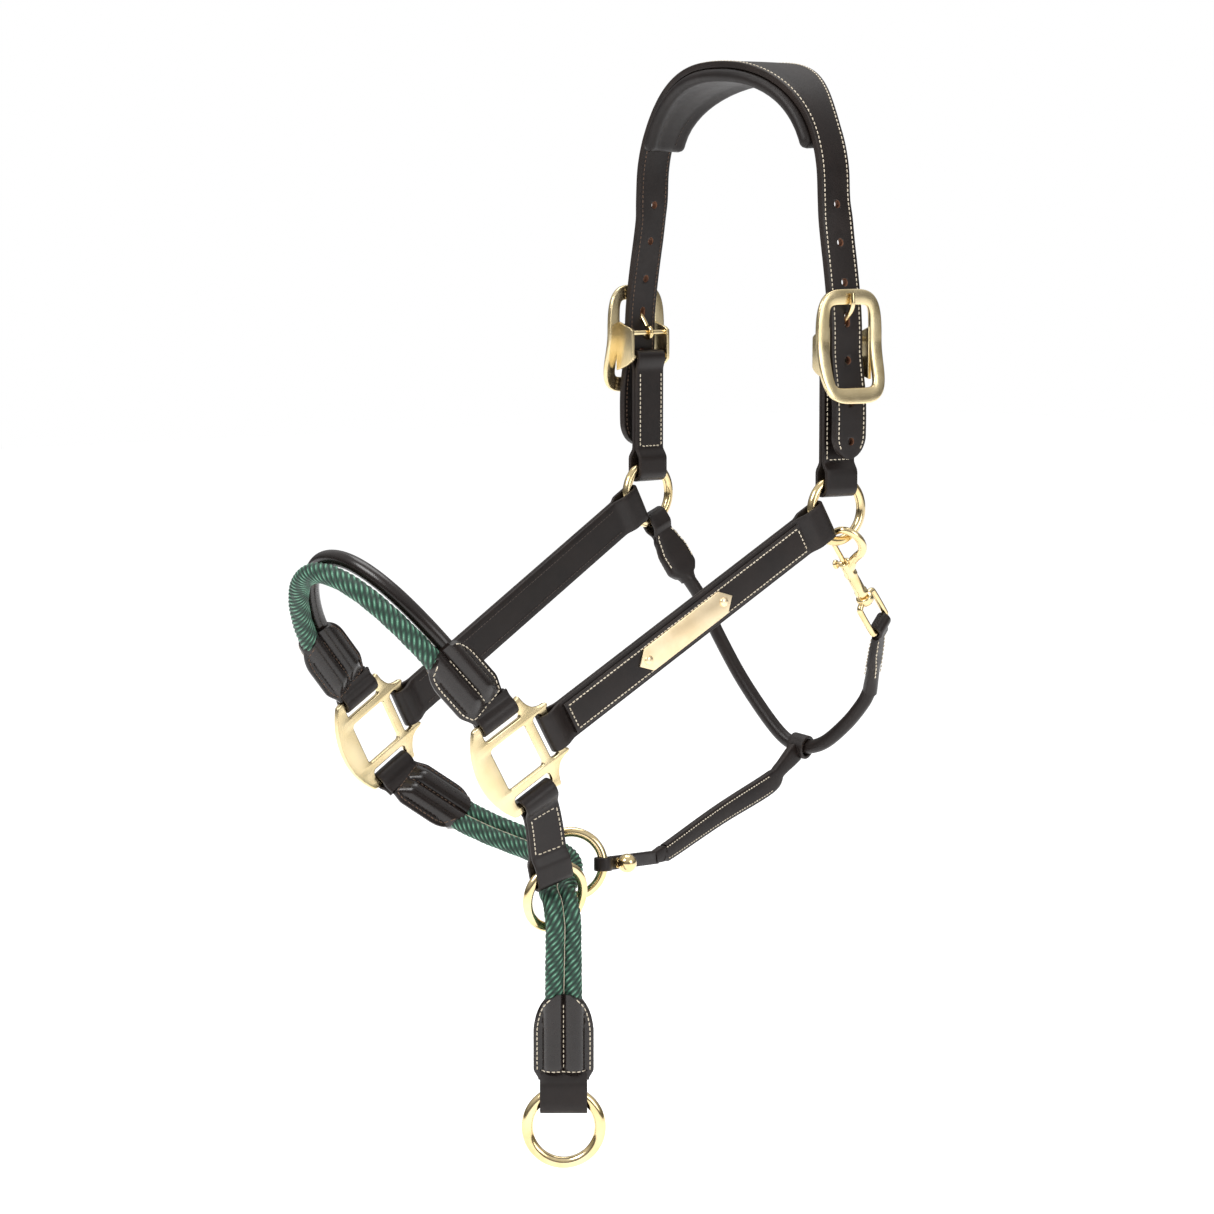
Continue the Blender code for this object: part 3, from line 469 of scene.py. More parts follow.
# ---------------------------------------------------------------- stitches
class Stitches:
    """Collects the stitches of one piece into one mesh."""

    def __init__(self, name, body, colour=THREAD, size=OUTER_THREAD):
        self.name, self.body, self.colour, self.size = name, body, colour, size
        self.shape = bmesh.new()
        self.random = random.Random(len(name) * 7 + 3)

    def one(self, middle, along, normal, length):
        side = normal.cross(along).normalized()
        along = (along + side * self.random.uniform(-0.10, 0.02)).normalized()
        side = normal.cross(along).normalized()
        rows = []
        for share, fat, sink in ((-0.5, 0.45, -0.9), (-0.36, 0.9, -0.15), (0, 1.0, 0.12),
                                 (0.36, 0.9, -0.15), (0.5, 0.45, -0.9)):
            centre = middle + along * length * share + normal * sink * self.size
            rows.append([centre + (side * math.cos(a) + normal * math.sin(a)) * self.size * fat
                         for a in [2 * math.pi * j / 6 for j in range(6)]])
        loft(self.shape, rows)

    def along(self, place, start, end, pitch=3.1, fill=0.76):
        """Stitches from start to end; place(distance) gives (point, normal)."""
        reach = abs(end - start)
        count = max(1, round(reach / pitch))
        sign = 1 if end > start else -1
        for k in range(count):
            low = start + sign * reach * (k + 0.5 - fill / 2) / count
            high = start + sign * reach * (k + 0.5 + fill / 2) / count
            a, na = place(low)
            b, nb = place(high)
            if (b - a).length > 0.4:
                self.one((a + b) / 2, (b - a).normalized(), (na + nb).normalized(), (b - a).length)

    def ribbon(self, line, start, end, a, n, pitch=3.1):
        """Along a strap at an offset across it, on the face at height n, above or below."""
        def place(distance):
            point, _, across, normal = line.frame(distance)
            offset = a(distance) if callable(a) else a
            return point + across * offset + normal * n, normal * (1 if n > 0 else -1)
        self.along(place, start, end, pitch)

    def cross(self, line, distance, low, high, n, pitch=3.1):
        point, _, across, normal = line.frame(distance)
        facing = normal * (1 if n > 0 else -1)
        self.along(lambda a: (point + across * a + normal * n, facing), low, high, pitch)

    def done(self):
        return finish_mesh(self.name, self.shape, (self.colour,), self.body, (), 70)


def sew_strap(name, line, low, high, face, crossings):
    """Stitches near both edges of both faces of a strap, and across it at the crossings."""
    sewn = Stitches(name, "harness")
    for n in (face, -face):
        for a in (-9.9, 9.9):
            sewn.ribbon(line, low, high, a, n)
        for distance in crossings:
            sewn.cross(line, distance, -8.4, 8.4, n)
    sewn.done()


# ---------------------------------------------------------------- the two sides
class Side:
    def __init__(self, sign):
        self.sign = sign
        self.name = "near" if sign == NEAR else "off"
        self.ring = Vector((RING_X, sign * RING_Y, RING_Z))
        self.square = Vector((SQUARE[0], sign * SQUARE[1], SQUARE[2]))
        level = self.square - self.ring
        self.forward = Vector((level.x, level.y, 0)).normalized()
        self.out = self.forward.cross(UP) * sign
        self.cheek = level.normalized()
        self.cheek_length = level.length
        self.across_cheek = square_to(UP, self.cheek)

    def at(self, forward, out, up):
        foot = Vector((self.ring.x, self.ring.y, 0))
        return foot + self.forward * forward + self.out * out + UP * up


SIDES = {NEAR: Side(NEAR), OFF: Side(OFF)}


def eye_path(corner, radius, reach, taper, layer_offset, steps=10):
    made = arc((corner, 0), radius, 180, 90, steps)
    made.append((reach, radius))
    for k in range(1, 7):
        t = k / 6
        made.append((reach + taper * t, radius + (layer_offset - radius) * smooth_step(0, 1, t)))
    return made


def ring_eye(radius, wire, width, layer, slack=0.3):
    inner = radius - wire - GAP
    corner = math.sqrt(inner**2 - (width / 2)**2) + wire + GAP
    return corner, wire + GAP + slack + layer / 2, radius + wire + GAP + slack


def doubled_path(start, end, layer_offset):
    first = eye_path(*start, layer_offset)
    last = [(-x, y) for x, y in eye_path(-end[0], end[1], -end[2], end[3], layer_offset)]
    upper = first + last[::-1]
    lower = [(x, -y) for x, y in upper[1:-1]]
    return upper + lower[::-1]


def fold_path(corner, radius, reach, taper, layer_offset, tail):
    half = eye_path(corner, radius, reach, taper, layer_offset)
    half.append((tail, layer_offset))
    other = [(x, -y) for x, y in half[1:]]
    return other[::-1] + half


def dense(path, closed, gap=2.0):
    """The same path with points no further apart than the gap."""
    made = []
    pairs = list(zip(path, path[1:] + path[:1])) if closed else list(zip(path, path[1:]))
    for a, b in pairs:
        count = max(1, math.ceil(math.dist(a, b) / gap))
        for k in range(count):
            made.append((a[0] + (b[0] - a[0]) * k / count, a[1] + (b[1] - a[1]) * k / count))
    if not closed:
        made.append(path[-1])
    return made


def path_strap(name, base, path, width, thick, body, replaced, closed=True):
    """A thin strap along a path drawn in the plane of the base."""
    across = base.to_3x3() @ Vector((0, 0, 1))
    points = [base @ Vector((x, y, 0)) for x, y in dense(path, closed)]
    line = Line(points, [across] * len(points), closed)
    return line_strap(name, line, width, thick, body, replaced)


def width_along(line, widths, per_span):
    """A function of distance that runs smoothly through one width for each stop of the line."""
    widths = [v.x for v in through([Vector((w, 0, 0)) for w in widths], per_span)]

    def width(distance):
        for k, (low, high) in enumerate(zip(line.steps, line.steps[1:])):
            if high >= distance:
                share = (distance - low) / max(high - low, 1e-9)
                return widths[k] + (widths[k + 1] - widths[k]) * share
        return widths[-1]
    return width


# ---------------------------------------------------------------- headpiece
ARCH_HALF, ARCH_HEIGHT, CROWN_Z = 88.0, 86.0, 9.45


def arch_point(angle):
    turn = math.radians(angle)
    across = math.copysign(abs(math.cos(turn)) ** 0.87, math.cos(turn))
    rise = abs(math.sin(turn)) ** 0.87
    back = smooth_step(25, 90, angle if angle <= 90 else 180 - angle)
    return Vector((RING_X + 6 * back, -ARCH_HALF * across, CROWN_Z - ARCH_HEIGHT * (1 - rise)))


def arch_width(angle):
    inner = angle if angle <= 90 else 180 - angle
    return STRAP + 31 * smooth_step(25, 90, inner)


BILLET = ((11.4, -240), (12.2, -222), (12.2, -208), (11.2, -196), (9.4, -185), (7.8, -174),
          (7.6, -160), (7.0, -150), (6.0, -141), (4.4, -130), (2.2, -117), (-0.4, -103),
          (-2.6, -89))


def headpiece_line():
    near, off = SIDES[NEAR], SIDES[OFF]
    stops = [(near.at(0, out, up), -near.forward, STRAP) for out, up in BILLET]
    stops += [(arch_point(a), Vector((1, 0, 0)), arch_width(a)) for a in range(0, 181, 10)]
    stops += [(off.at(0, out, up), -off.forward, STRAP) for out, up in reversed(BILLET)]
    points, across, widths = zip(*stops)
    line = Line(through(points, 6), through(across, 6))
    return line, width_along(line, widths, 6)


def make_headpiece():
    line, width = headpiece_line()
    full, tip = line.length, 14

    def shaped(distance):
        end = min(distance, full - distance)
        short = max(0.0, tip - end)
        return width(distance) * math.sqrt(max(0.04, 1 - (short / tip) ** 1.8))

    made = strap("headpiece", line, shaped, 4.5, ("headpiece_strap",), 0.5, 2.0)
    punched = [(height, 2.5, 24) for height in (-229, -204, -178, -129, -104, -80)]
    tongue_slot = [(-152.5 + lift, 2.2, 20) for lift in (-2.4, 0, 2.4)]
    shape = bmesh.new()
    for holes in (punched, tongue_slot):
        for side in SIDES.values():
            for height, radius, sides in holes:
                middle = side.at(0, 4, height)
                turned(shape, middle - side.out * 12, middle + side.out * 12,
                       [(0, radius), (24, radius)], sides)
    cutter = finish_mesh("hole_cutter", shape, (RAW,), None)
    made.data.materials.append(RAW)
    step = made.modifiers.new("holes", "BOOLEAN")
    step.operation = "DIFFERENCE"
    step.solver = "EXACT"
    step.use_self = True
    step.material_mode = "TRANSFER"
    step.object = cutter
    apply_modifiers(made)
    bpy.data.objects.remove(cutter)

    outer = Stitches("headpiece_stitching", "harness")
    inner = Stitches("headpiece_inner_stitching", "harness", BROWN_THREAD, INNER_THREAD)
    for sewn, height in ((outer, 2.37), (inner, -2.3)):
        for sign in (-1, 1):
            sewn.ribbon(line, 6, full - 6, lambda d: sign * (shaped(d) / 2 - 2.6), height, PITCH)
        sewn.done()
    make_poll_pad()


def make_poll_pad():
    """A soft lining under the crown, with a rolled edge in front and behind."""
    inset = 2.25 + 1.2 + 3.0
    points, widths = [], []
    for angle in range(20, 161, 5):
        run = arch_point(angle + 5) - arch_point(angle - 5)
        normal = square_to(Vector((1, 0, 0)), run).cross(run).normalized()
        points.append(arch_point(angle) - normal * inset)
        widths.append(arch_width(angle) + 3)
    line = Line(points, [Vector((1, 0, 0))] * len(points))

    def pad_width(distance):
        share = distance / line.length * (len(widths) - 1)
        low = min(int(share), len(widths) - 2)
        return widths[low] + (widths[low + 1] - widths[low]) * (share - low)

    shape = bmesh.new()
    rows = []
    steps = 120
    for k in range(steps + 1):
        distance = line.length * k / steps
        end = min(distance, line.length - distance)
        full = math.sqrt(max(0.03, 1 - max(0.0, 1 - end / 5) ** 2))
        point, _, across, normal = line.frame(distance)
        half = pad_width(distance) / 2
        outline = []
        roll = 4.3 * full
        for angle in range(-110, 111, 20):
            turn = math.radians(angle)
            outline.append((half - 1.6 + roll * math.cos(turn), -0.5 + roll * math.sin(turn)))
        for a in (0.6, 0.3, 0, -0.3, -0.6):
            outline.append((a * (half - 5), 2.9 * full))
        for angle in range(70, 291, 20):
            turn = math.radians(angle)
            outline.append((-half + 1.6 + roll * math.cos(turn), -0.5 + roll * math.sin(turn)))
        for a in (-0.8, -0.5, 0, 0.5, 0.8):
            outline.append((a * (half - 5), (-2.6 - 0.9 * (1 - a * a)) * full))
        rows.append([point + across * a + normal * n for a, n in outline])
    loft(shape, rows)
    pad = finish_mesh("padded_lining", shape, (LINING,), "harness", ("poll_pad",), 60)
    sewn = Stitches("lining_stitching", "harness", DARK_THREAD, 0.35)
    for sign in (-1, 1):
        def place(distance):
            point, _, across, normal = line.frame(distance)
            return point + across * sign * (pad_width(distance) / 2 - 6.4) - normal * 3.0, -normal
        sewn.along(place, 5, line.length - 5, 3.2)
    sewn.done()


def evaluated_mesh(item):
    bpy.context.view_layer.update()
    seen = item.evaluated_get(bpy.context.evaluated_depsgraph_get())
    return bpy.data.meshes.new_from_object(seen)


def apply_modifiers(item):
    mesh = evaluated_mesh(item)
    item.modifiers.clear()
    item.data = mesh


# ---------------------------------------------------------------- buckles
def buckle_bow(height):
    return 8.0 * smooth_step(-4, 40, -height)


def superellipse(half_width, half_height, power, turn):
    reach = ((abs(math.cos(turn)) / half_width) ** power
             + (abs(math.sin(turn)) / half_height) ** power) ** (-1 / power)
    return reach * math.cos(turn), reach * math.sin(turn)


def make_buckle(side):
    centre = side.at(0, 0, RING_Z + BUCKLE_RISE)
    shape = bmesh.new()
    rows = []
    count = 160
    for k in range(count):
        turn = 2 * math.pi * k / count
        outer = superellipse(26, 36, 3.6, turn)
        inner = superellipse(16.5, 26, 9, turn)
        row = []
        for share, rise in ((0, -0.9), (0.03, -1.4), (0.12, -1.6), (0.88, -1.6), (0.97, -1.4),
                            (1, -0.9), (1, 0.8), (0.97, 1.25), (0.9, 1.5), (0.5, 1.55),
                            (0.1, 1.5), (0.03, 1.25), (0, 0.8)):
            x = inner[0] + (outer[0] - inner[0]) * share
            z = inner[1] + (outer[1] - inner[1]) * share
            row.append(centre + side.forward * x + UP * z
                       + side.out * (11.4 + buckle_bow(z) + rise))
        rows.append(row)
    loft(shape, rows, True)
    for height in (4, -12):
        middle = centre + UP * height
        turned(shape, middle - side.forward * 17.6, middle + side.forward * 17.6,
               capsule(35.2, 1.75, 0.4), 20)
    finish_mesh(f"{side.name}_buckle", shape, (SATIN,), "harness",
                (f"{side.name}_buckle_frame",), 50)

    lug = through([Vector((x, y, 0)) for x, y in (
        (-21, 12), (-19, 5), (-16.6, 0), (-14.4, -2.2), (-12, -2.9), (4, -2.9), (6.4, -2),
        (8, 0.6), (9.6, 5.4), (12, 12))], 4)
    for k in (-1, 1):
        base = axes(centre + side.forward * k * 16.7, UP, side.out.cross(UP))
        facing = 1 if (base.to_3x3() @ Vector((0, 1, 0))).dot(side.out) > 0 else -1
        flat_piece(f"{side.name}_buckle_lug_{'ab'[k > 0]}", base,
                   [[(p.x, p.y * facing) for p in lug]], 2.6, 0.5, (SATIN,), "harness", ())

    coil = arc((4, 0), 3.45, 120, 370, 16)
    shank = [(10.6, 2.6), (14, 5.3), (17.6, 8.8), (21, 12.2), (24.3, 14.6), (28, 15.2),
             (33.4, 14.9)]
    points = [centre + UP * up + side.out * out for up, out in coil]
    points += through([centre + UP * up + side.out * out for up, out in shank], 4)
    line = Line(points, [side.forward] * len(points))
    total = line.length
    tube_piece(f"{side.name}_tongue_pin", line,
               lambda d: 1.55 - 0.25 * smooth_step(total - 6, total, d), 16, 1.0, (BRASS,),
               f"{side.name}_tongue", (f"{side.name}_buckle_tongue",))


def make_chape(side):
    bar = -(RING_Z + BUCKLE_RISE - 12)
    thick = 2.5
    corner, radius, far = ring_eye(RING_R, RING_WIRE, STRAP, thick)
    upper = (bar, 1.75 + GAP + thick / 2, bar + 1, 8)
    lower = (-RING_Z - corner, radius, -RING_Z - far, 7.5)
    path = doubled_path(upper, lower, (thick + GAP) / 2)
    base = axes(side.at(0, 0, 0), -UP, side.forward)
    path_strap(f"{side.name}_chape_leather", base, path, STRAP, thick, "harness",
               (f"{side.name}_chape",))
    face = (thick + GAP) / 2 + thick / 2 + 0.12
    flat = Line([base @ Vector((x, 0, 0)) for x in (bar, -RING_Z)], [side.forward] * 2)
    high = -RING_Z - far - 8.5 - bar
    sew_strap(f"{side.name}_chape_stitching", flat, 11, high, face, (high,))


# ---------------------------------------------------------------- cheeks and square fittings
def square_outlines():
    half_edge = [(32.3, 14.5), (33.8, 15.6), (33.9, 17.0), (32, 18), (29.5, 18.2), (27, 19),
                 (25, 20.0), (23.4, 21.4), (21.6, 23.8), (20.2, 26.5), (19.4, 29), (19, 31),
                 (18.4, 32.1), (17.4, 32.3), (15, 31.6), (-15, 31.8), (-17, 31.8), (-18.2, 31.4)]
    for k in range(24):
        y = 30.6 * (1 - k / 24) + 0.4
        half_edge.append((20 - math.sqrt(2500 - y * y), y))
    edge = half_edge + [(x, -y) for x, y in reversed(half_edge)]
    return [edge, rounded_box(-14.5, 14.5, -14.5, 14.5, 2.6),
            rounded_box(20.3, 26.8, -14.4, 14.4, 2.4),
            rounded_box(-14.4, 14.4, 20.3, 26.8, 2.4),
            rounded_box(-14.4, 14.4, -26.8, -20.3, 2.4)]


def rounded_box(left, right, bottom, top, radius):
    made = []
    for cx, cy, start in ((right - radius, top - radius, 0), (left + radius, top - radius, 90),
                          (left + radius, bottom + radius, 180),
                          (right - radius, bottom + radius, 270)):
        made += arc((cx, cy), radius, start, start + 90, 8)
    return made


def flat_piece(name, base, outlines, thick, bevel, faces, body, replaced):
    """A plate with rounded edges, drawn as closed outlines in its own plane."""
    curve = bpy.data.curves.new(name, "CURVE")
    curve.dimensions = "2D"
    curve.fill_mode = "BOTH"
    curve.extrude = (thick / 2 - bevel) * MM
    curve.bevel_depth = bevel * MM
    curve.bevel_resolution = 3
    curve.offset = -bevel * MM
    for outline in outlines:
        spline = curve.splines.new("POLY")
        spline.points.add(len(outline) - 1)
        for point, (x, y) in zip(spline.points, outline):
            point.co = (x * MM, y * MM, 0, 1)
        spline.use_cyclic_u = True
    drawn = bpy.data.objects.new(name + "_curve", curve)
    bpy.context.scene.collection.objects.link(drawn)
    mesh = evaluated_mesh(drawn)
    bpy.data.objects.remove(drawn)
    shape = bmesh.new()
    shape.from_mesh(mesh)
    bmesh.ops.remove_doubles(shape, verts=shape.verts, dist=1e-6)
    shape.transform(Matrix.Scale(1 / MM, 4))
    shape.transform(base)
    return finish_mesh(name, shape, faces, body, replaced, 35)


def make_cheek(side):
    bar = side.cheek_length - BAR_CENTRE
    offset = (LAYER + GAP) / 2
    corner, radius, far = ring_eye(RING_R, RING_WIRE, STRAP, LAYER)
    base = axes(side.ring, side.cheek, side.across_cheek)
    path = doubled_path((corner, radius, far, 9), (bar, BAR_EYE + LAYER / 2, bar - 2, 10), offset)
    path_strap(f"{side.name}_cheek", base, path, STRAP, LAYER, "harness",
               (f"{side.name}_cheek_strap",))
    outward = 1 if side.out.dot(base.to_3x3() @ Vector((0, 1, 0))) > 0 else -1
    face = offset + LAYER / 2 + 0.1
    middle = Line([base @ Vector((x, outward * (face + 0.9), 0)) for x in (33, bar - 13)],
                  [side.across_cheek * -outward] * 2)
    if middle.frame(1)[3].dot(side.out) < 0:
        middle = Line(middle.points, [side.across_cheek * outward] * 2)
    strap(f"{side.name}_cheek_panel", middle, 20.5, 2.0, (f"{side.name}_cheek_overlay",), 0.9, 4)
    sewn = Stitches(f"{side.name}_cheek_stitching", "harness")
    for a in (-8.2, 8.2):
        sewn.ribbon(middle, 2.4, middle.length - 2.4, a, 1.42, 2.9)
    for distance in (2.4, middle.length - 2.4):
        sewn.cross(middle, distance, -7, 7, 1.5, 2.9)
    inner = Stitches(f"{side.name}_cheek_inner_stitching", "harness", DARK_THREAD, 0.36)
    for a in (-8.2, 8.2):
        inner.ribbon(middle, 2.4, middle.length - 2.4, a, -(face * 2 + 0.95), 2.9)
    inner.done()
    sewn.done()
    fitting = axes(side.square, -side.cheek, side.cheek.cross(side.across_cheek))
    flat_piece(f"{side.name}_square_fitting", fitting, square_outlines(), 3.4, 0.9, (SATIN,),
               "harness", (f"{side.name}_square",))
    return face + 2.0 + 0.2


def make_name_plate(face):
    side = SIDES[NEAR]
    middle = side.ring + side.cheek * (side.cheek_length / 2) + side.out * (face + 0.9)
    base = axes(middle, side.cheek, side.cheek.cross(side.across_cheek))
    outline = [(-40.5, 0), (-32.5, -8), (32.5, -8), (40.5, 0), (32.5, 8), (-32.5, 8)]
    flat_piece("name_plate_face", base, [outline], 1.2, 0.35, (PLATE,), "harness", ("name_plate",))
    for k, name in ((-1, "upper"), (1, "lower")):
        foot = middle + side.cheek * k * 33 + side.out * 0.5
        turned_piece(f"{name}_rivet_head", foot, foot + side.out,
                     [(0, 3.0), (0.4, 3.05), (0.9, 2.7), (1.3, 2.0), (1.55, 1.1), (1.6, 0.2)],
                     28, (PLATE,), (f"{name}_plate_rivet",))


# ---------------------------------------------------------------- padded tabs
def padded_tab(name, node, bar, bar_line, along, sections, spread, lobe, body="harness",
               fold=True):
    """A folded tab with two soft tubes sewn into it, and what tab_stitches reads its faces by.

    sections are (distance, width, height of the tubes); spread is the tubes' distance from the
    middle and lobe their radius.
    """
    to_world = axes(bar, along, bar_line).to_3x3()
    along_unit, up, across = (to_world @ Vector(v) for v in ((1, 0, 0), (0, 1, 0), (0, 0, 1)))

    def height(a, wide, tall):
        flat = 1.35
        near_lobe = (abs(a) - spread) / lobe
        rise = math.sqrt(max(0.0, 1 - near_lobe**2)) if abs(near_lobe) < 1 else 0.0
        edge = 1 - smooth_step(wide / 2 - 1.6, wide / 2, abs(a)) * 0.55
        return (flat + (tall - flat) * rise ** 1.15) * edge

    rows = []
    first, last = sections[0][0], sections[-1][0]
    for step in range(61):
        distance = first + (last - first) * step / 60
        wide, tall = section_at(sections, distance)
        spine = bar + along_unit * distance
        offsets = [-wide / 2 + wide * k / 40 for k in range(41)]
        rows.append([spine + across * a + up * height(a, wide, tall) for a in offsets]
                    + [spine + across * a - up * height(a, wide, tall) for a in offsets[::-1]])
    shape = bmesh.new()
    loft(shape, rows)
    made = finish_mesh(name, shape, (GLOSSY,), body, (node,) if node else (), 55)
    if fold:
        fold_base = axes(bar, square_to(along, bar_line), bar_line)
        path = fold_path(0, BAR_EYE + LAYER / 2, 1.5, 6, 1.6, first + 5)
        path_strap(name + "_fold", fold_base, path, FOLD_WIDTH, LAYER, body, (), False)
    return made, (bar, along_unit, up, across, height)


def section_at(sections, distance, ease=None):
    """Width and height at a distance, between the two nearest sections."""
    for low, high in zip(sections, sections[1:]):
        if distance <= high[0] + 1e-9:
            t = (distance - low[0]) / (high[0] - low[0])
            if ease:
                t = ease(0, 1, t)
            return low[1] + (high[1] - low[1]) * t, low[2] + (high[2] - low[2]) * t
    return sections[-1][1], sections[-1][2]


def bullet(full_at, wide, straight_to, tip, tall):
    """Sections of a tab that swells from its fold and ends in a rounded tip."""
    made = []
    steps, power, flat = 60, 2.3, 1.6
    for k in range(steps + 1):
        distance = TAB_START + (tip - TAB_START) * k / steps
        width = FOLD_WIDTH + (wide - FOLD_WIDTH) * smooth_step(TAB_START, full_at, distance)
        if distance > straight_to:
            share = (distance - straight_to) / (tip - straight_to)
            width *= max(0.12, (1 - share**power)) ** (1 / power)
        grow = smooth_step(TAB_START, full_at + 2, distance)
        made.append((distance, width, flat + (tall - flat) * grow))
    return made


def sew_face(sewn, surface, sections, face, signs, edges, middle, cross_at, half):
    """Stitches near both edges of one face of a tab, along its middle, and once across it."""
    bar, along, up, across, height = surface

    def point(distance, a, lift):
        wide, tall = section_at(sections, distance)
        return (bar + along * distance + across * a
                + up * face * (height(a, wide, tall) + lift)), up * face

    def edge(sign):
        def place(distance):
            wide = section_at(sections, distance)[0]
            return point(distance, sign * max(0.0, wide / 2 - EDGE_INSET), 0.1)
        return place

    for sign in signs:
        sewn.along(edge(sign), *edges, PITCH)
    sewn.along(lambda distance: point(distance, 0, 0.12), *middle, PITCH)
    sewn.along(lambda a: point(cross_at, a, 0.12), -half, half, PITCH)


def tab_stitches(name, surface, sections, start, stop, out):
    """Cream thread on the side that faces out, brown on the side that lies on the horse."""
    last = sections[-1][0] - EDGE_INSET - 0.6
    half = section_at(sections, start)[0] / 2 - EDGE_INSET
    for face in (1, -1):
        outer = (surface[2] * face).dot(out) > 0
        sewn = Stitches(name + ("" if outer else "_inner"), "harness",
                        THREAD if outer else BROWN_THREAD,
                        OUTER_THREAD if outer else INNER_THREAD)
        sew_face(sewn, surface, sections, face, (1, -1), (start, last), (start + 3, stop),
                 start, half)
        sewn.done()


# ---------------------------------------------------------------- ropes
ROPE_SIDES, ROPE_STEP, ROPE_RIDGES, ROPE_LAY, ROPE_SEGMENT = 96, 0.42, 9, 4.2, 5.6


def rope(name, line, radius, replaced, blend=None):
    """A round solid-braided rope: slanting ridges broken into short strands, all modelled, and
    coloured darker in the grooves and lighter on the crests as painted shade and painted
    highlights.
    """
    count = int(line.length / ROPE_STEP)
    shape = bmesh.new()
    layer = shape.verts.layers.float.new("strand")
    rows, domes = [], []
    for k in range(count + 1):
        distance = line.length * k / count
        point, _, across, normal = line.frame(distance)
        row = []
        for j in range(ROPE_SIDES):
            angle = 2 * math.pi * j / ROPE_SIDES
            ridge = ROPE_RIDGES * angle / (2 * math.pi) + distance / ROPE_LAY
            strand = distance / ROPE_SEGMENT + 0.5 * (math.floor(ridge) % 2)
            hump = math.sin(math.pi * (ridge % 1.0)) ** 0.7
            swell = math.sin(math.pi * (strand % 1.0)) ** 0.5
            dome = hump * (0.55 + 0.45 * swell)
            reach = radius - 0.75 + 0.95 * dome
            row.append(point + across * reach * math.cos(angle)
                       + normal * reach * math.sin(angle))
            domes.append(dome)
        rows.append(row)
    verts = [vert for row in loft(shape, rows) for vert in row]
    # Each vertex's strand value grows with its ridge height: painted shade in the grooves, painted
    # highlight on the crests.
    for vert, dome in zip(verts, domes):
        vert[layer] = 0.04 + 0.80 * dome ** 2
    made = finish_mesh(name, shape, (ROPE,), None if blend else "harness", (), 75)
    if blend:
        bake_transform(made)
    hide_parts(*replaced)
    return made


# ---------------------------------------------------------------- noseband
def make_nose():
    starts = {}
    for side in SIDES.values():
        bar = side.square + side.across_cheek * BAR_CENTRE
        lean = math.radians(47)
        along = (side.forward * math.cos(lean) + UP * math.sin(lean)
                 - side.out * 0.06).normalized()
        across = square_to(-side.cheek, along)
        sections = bullet(20, 36, 38, 58, 7.9)
        _, surface = padded_tab(f"{side.name}_nose_padding", f"{side.name}_nose_tab", bar,
                                -side.cheek, along, sections, 6.0, 7.0)
        tab_stitches(f"{side.name}_nose_stitching", surface, sections, 11, 50, side.out)
        starts[side.sign] = (bar + along * 47, across, along)

    def route(shift, middle, reach):
        end, across, along = starts[NEAR]
        first = end + across * shift
        half = bezier(first, first + along * 20, middle - Vector((0, reach, 0)), middle, 40)
        return half + [Vector((p.x, -p.y, p.z)) for p in reversed(half[:-1])]

    roll = route(5.9, Vector((-331, 0, -291)), 38)
    tube_piece("rolled_noseband", Line(roll, [Vector((0.2, 0.1, 1))] * len(roll)), 5.0, 32, 1.5,
               (GLOSSY,), "harness", ("nose_roll",))
    path = route(-5.9, Vector((-341.5, 0, -299.5)), 38)
    rope("rope_noseband", Line(path, [Vector((0.2, 0.1, 1))] * len(path)), 6.2, ("nose_rope",))


# ---------------------------------------------------------------- control rope and its ends
ROUTE = [Vector(p) for p in (
    (-211, 45, -460), (-206, 38.5, -464.8), (-197.3, 20.3, -472.4), (-186.6, -12.1, -480.8),
    (-186, -35.2, -485.6), (-192.2, -46, -491), (-205.8, -55.7, -498.3), (-211.6, -65.9, -504.2),
    (-213.4, -70.3, -511.7), (-213.7, -71.5, -518.2), (-213.7, -71.5, -521.7))]
ROUTE_ACROSS = [Vector(p) for p in (
    (0.78, 0.19, 0.60), (0.80, 0.22, 0.56), (0.83, 0.24, 0.50), (0.89, 0.12, 0.44),
    (0.94, -0.05, 0.34), (0.96, -0.23, 0.17), (0.96, -0.23, 0.13), (0.99, -0.13, 0.06),
    (0.95, -0.30, 0.11), (0.96, -0.29, 0.01), (0.96, -0.29, 0))]


ROUTE_FOOT, ROPE_FOOT = -521.7, -572
ROPE_APART, ROPE_RADIUS = 5.65, 5.7


def make_control():
    off = SIDES[OFF]
    bar = off.square - off.across_cheek * BAR_CENTRE
    along = (ROUTE[0] - bar).normalized()
    reach = (ROUTE[0] - bar).length
    sections = bullet(18, 34, reach - 6, reach + 11, 7.6)
    _, surface = padded_tab("off_chin_padding", "off_chin_tab", bar, -off.cheek, along, sections,
                            5.8, 6.8)
    tab_stitches("off_chin_stitching", surface, sections, 11, reach + 3, off.out)

    centre = through(ROUTE, 8)
    across = through(ROUTE_ACROSS, 8)
    pairs = []
    for k, point in enumerate(centre):
        run = centre[min(k + 1, len(centre) - 1)] - centre[max(k - 1, 0)]
        pairs.append((point, square_to(across[k], run)))
    for k in range(1, 17):
        t = k / 16
        turn = square_to(ROUTE_ACROSS[-1].lerp(LEAD_ACROSS, t), UP)
        pairs.append((LEAD + UP * (ROUTE_FOOT + (ROPE_FOOT - ROUTE_FOOT) * t), turn))
    for label, sign in (("a", -1), ("b", 1)):
        points = [point + side * ROPE_APART * sign for point, side in pairs]
        line = Line(points, [side for _, side in pairs])
        made = rope(f"control_rope_{label}_braid", line, ROPE_RADIUS,
                    (f"control_rope_{label}", f"lead_rope_{label}"),
                    ("harness", "lead_drop", LEAD * MM + Vector((0, 0, -0.514)),
                     LEAD * MM + Vector((0, 0, -0.532))))
    seam = Line([p for p, _ in pairs], [s for _, s in pairs])
    make_rope_seam(seam)


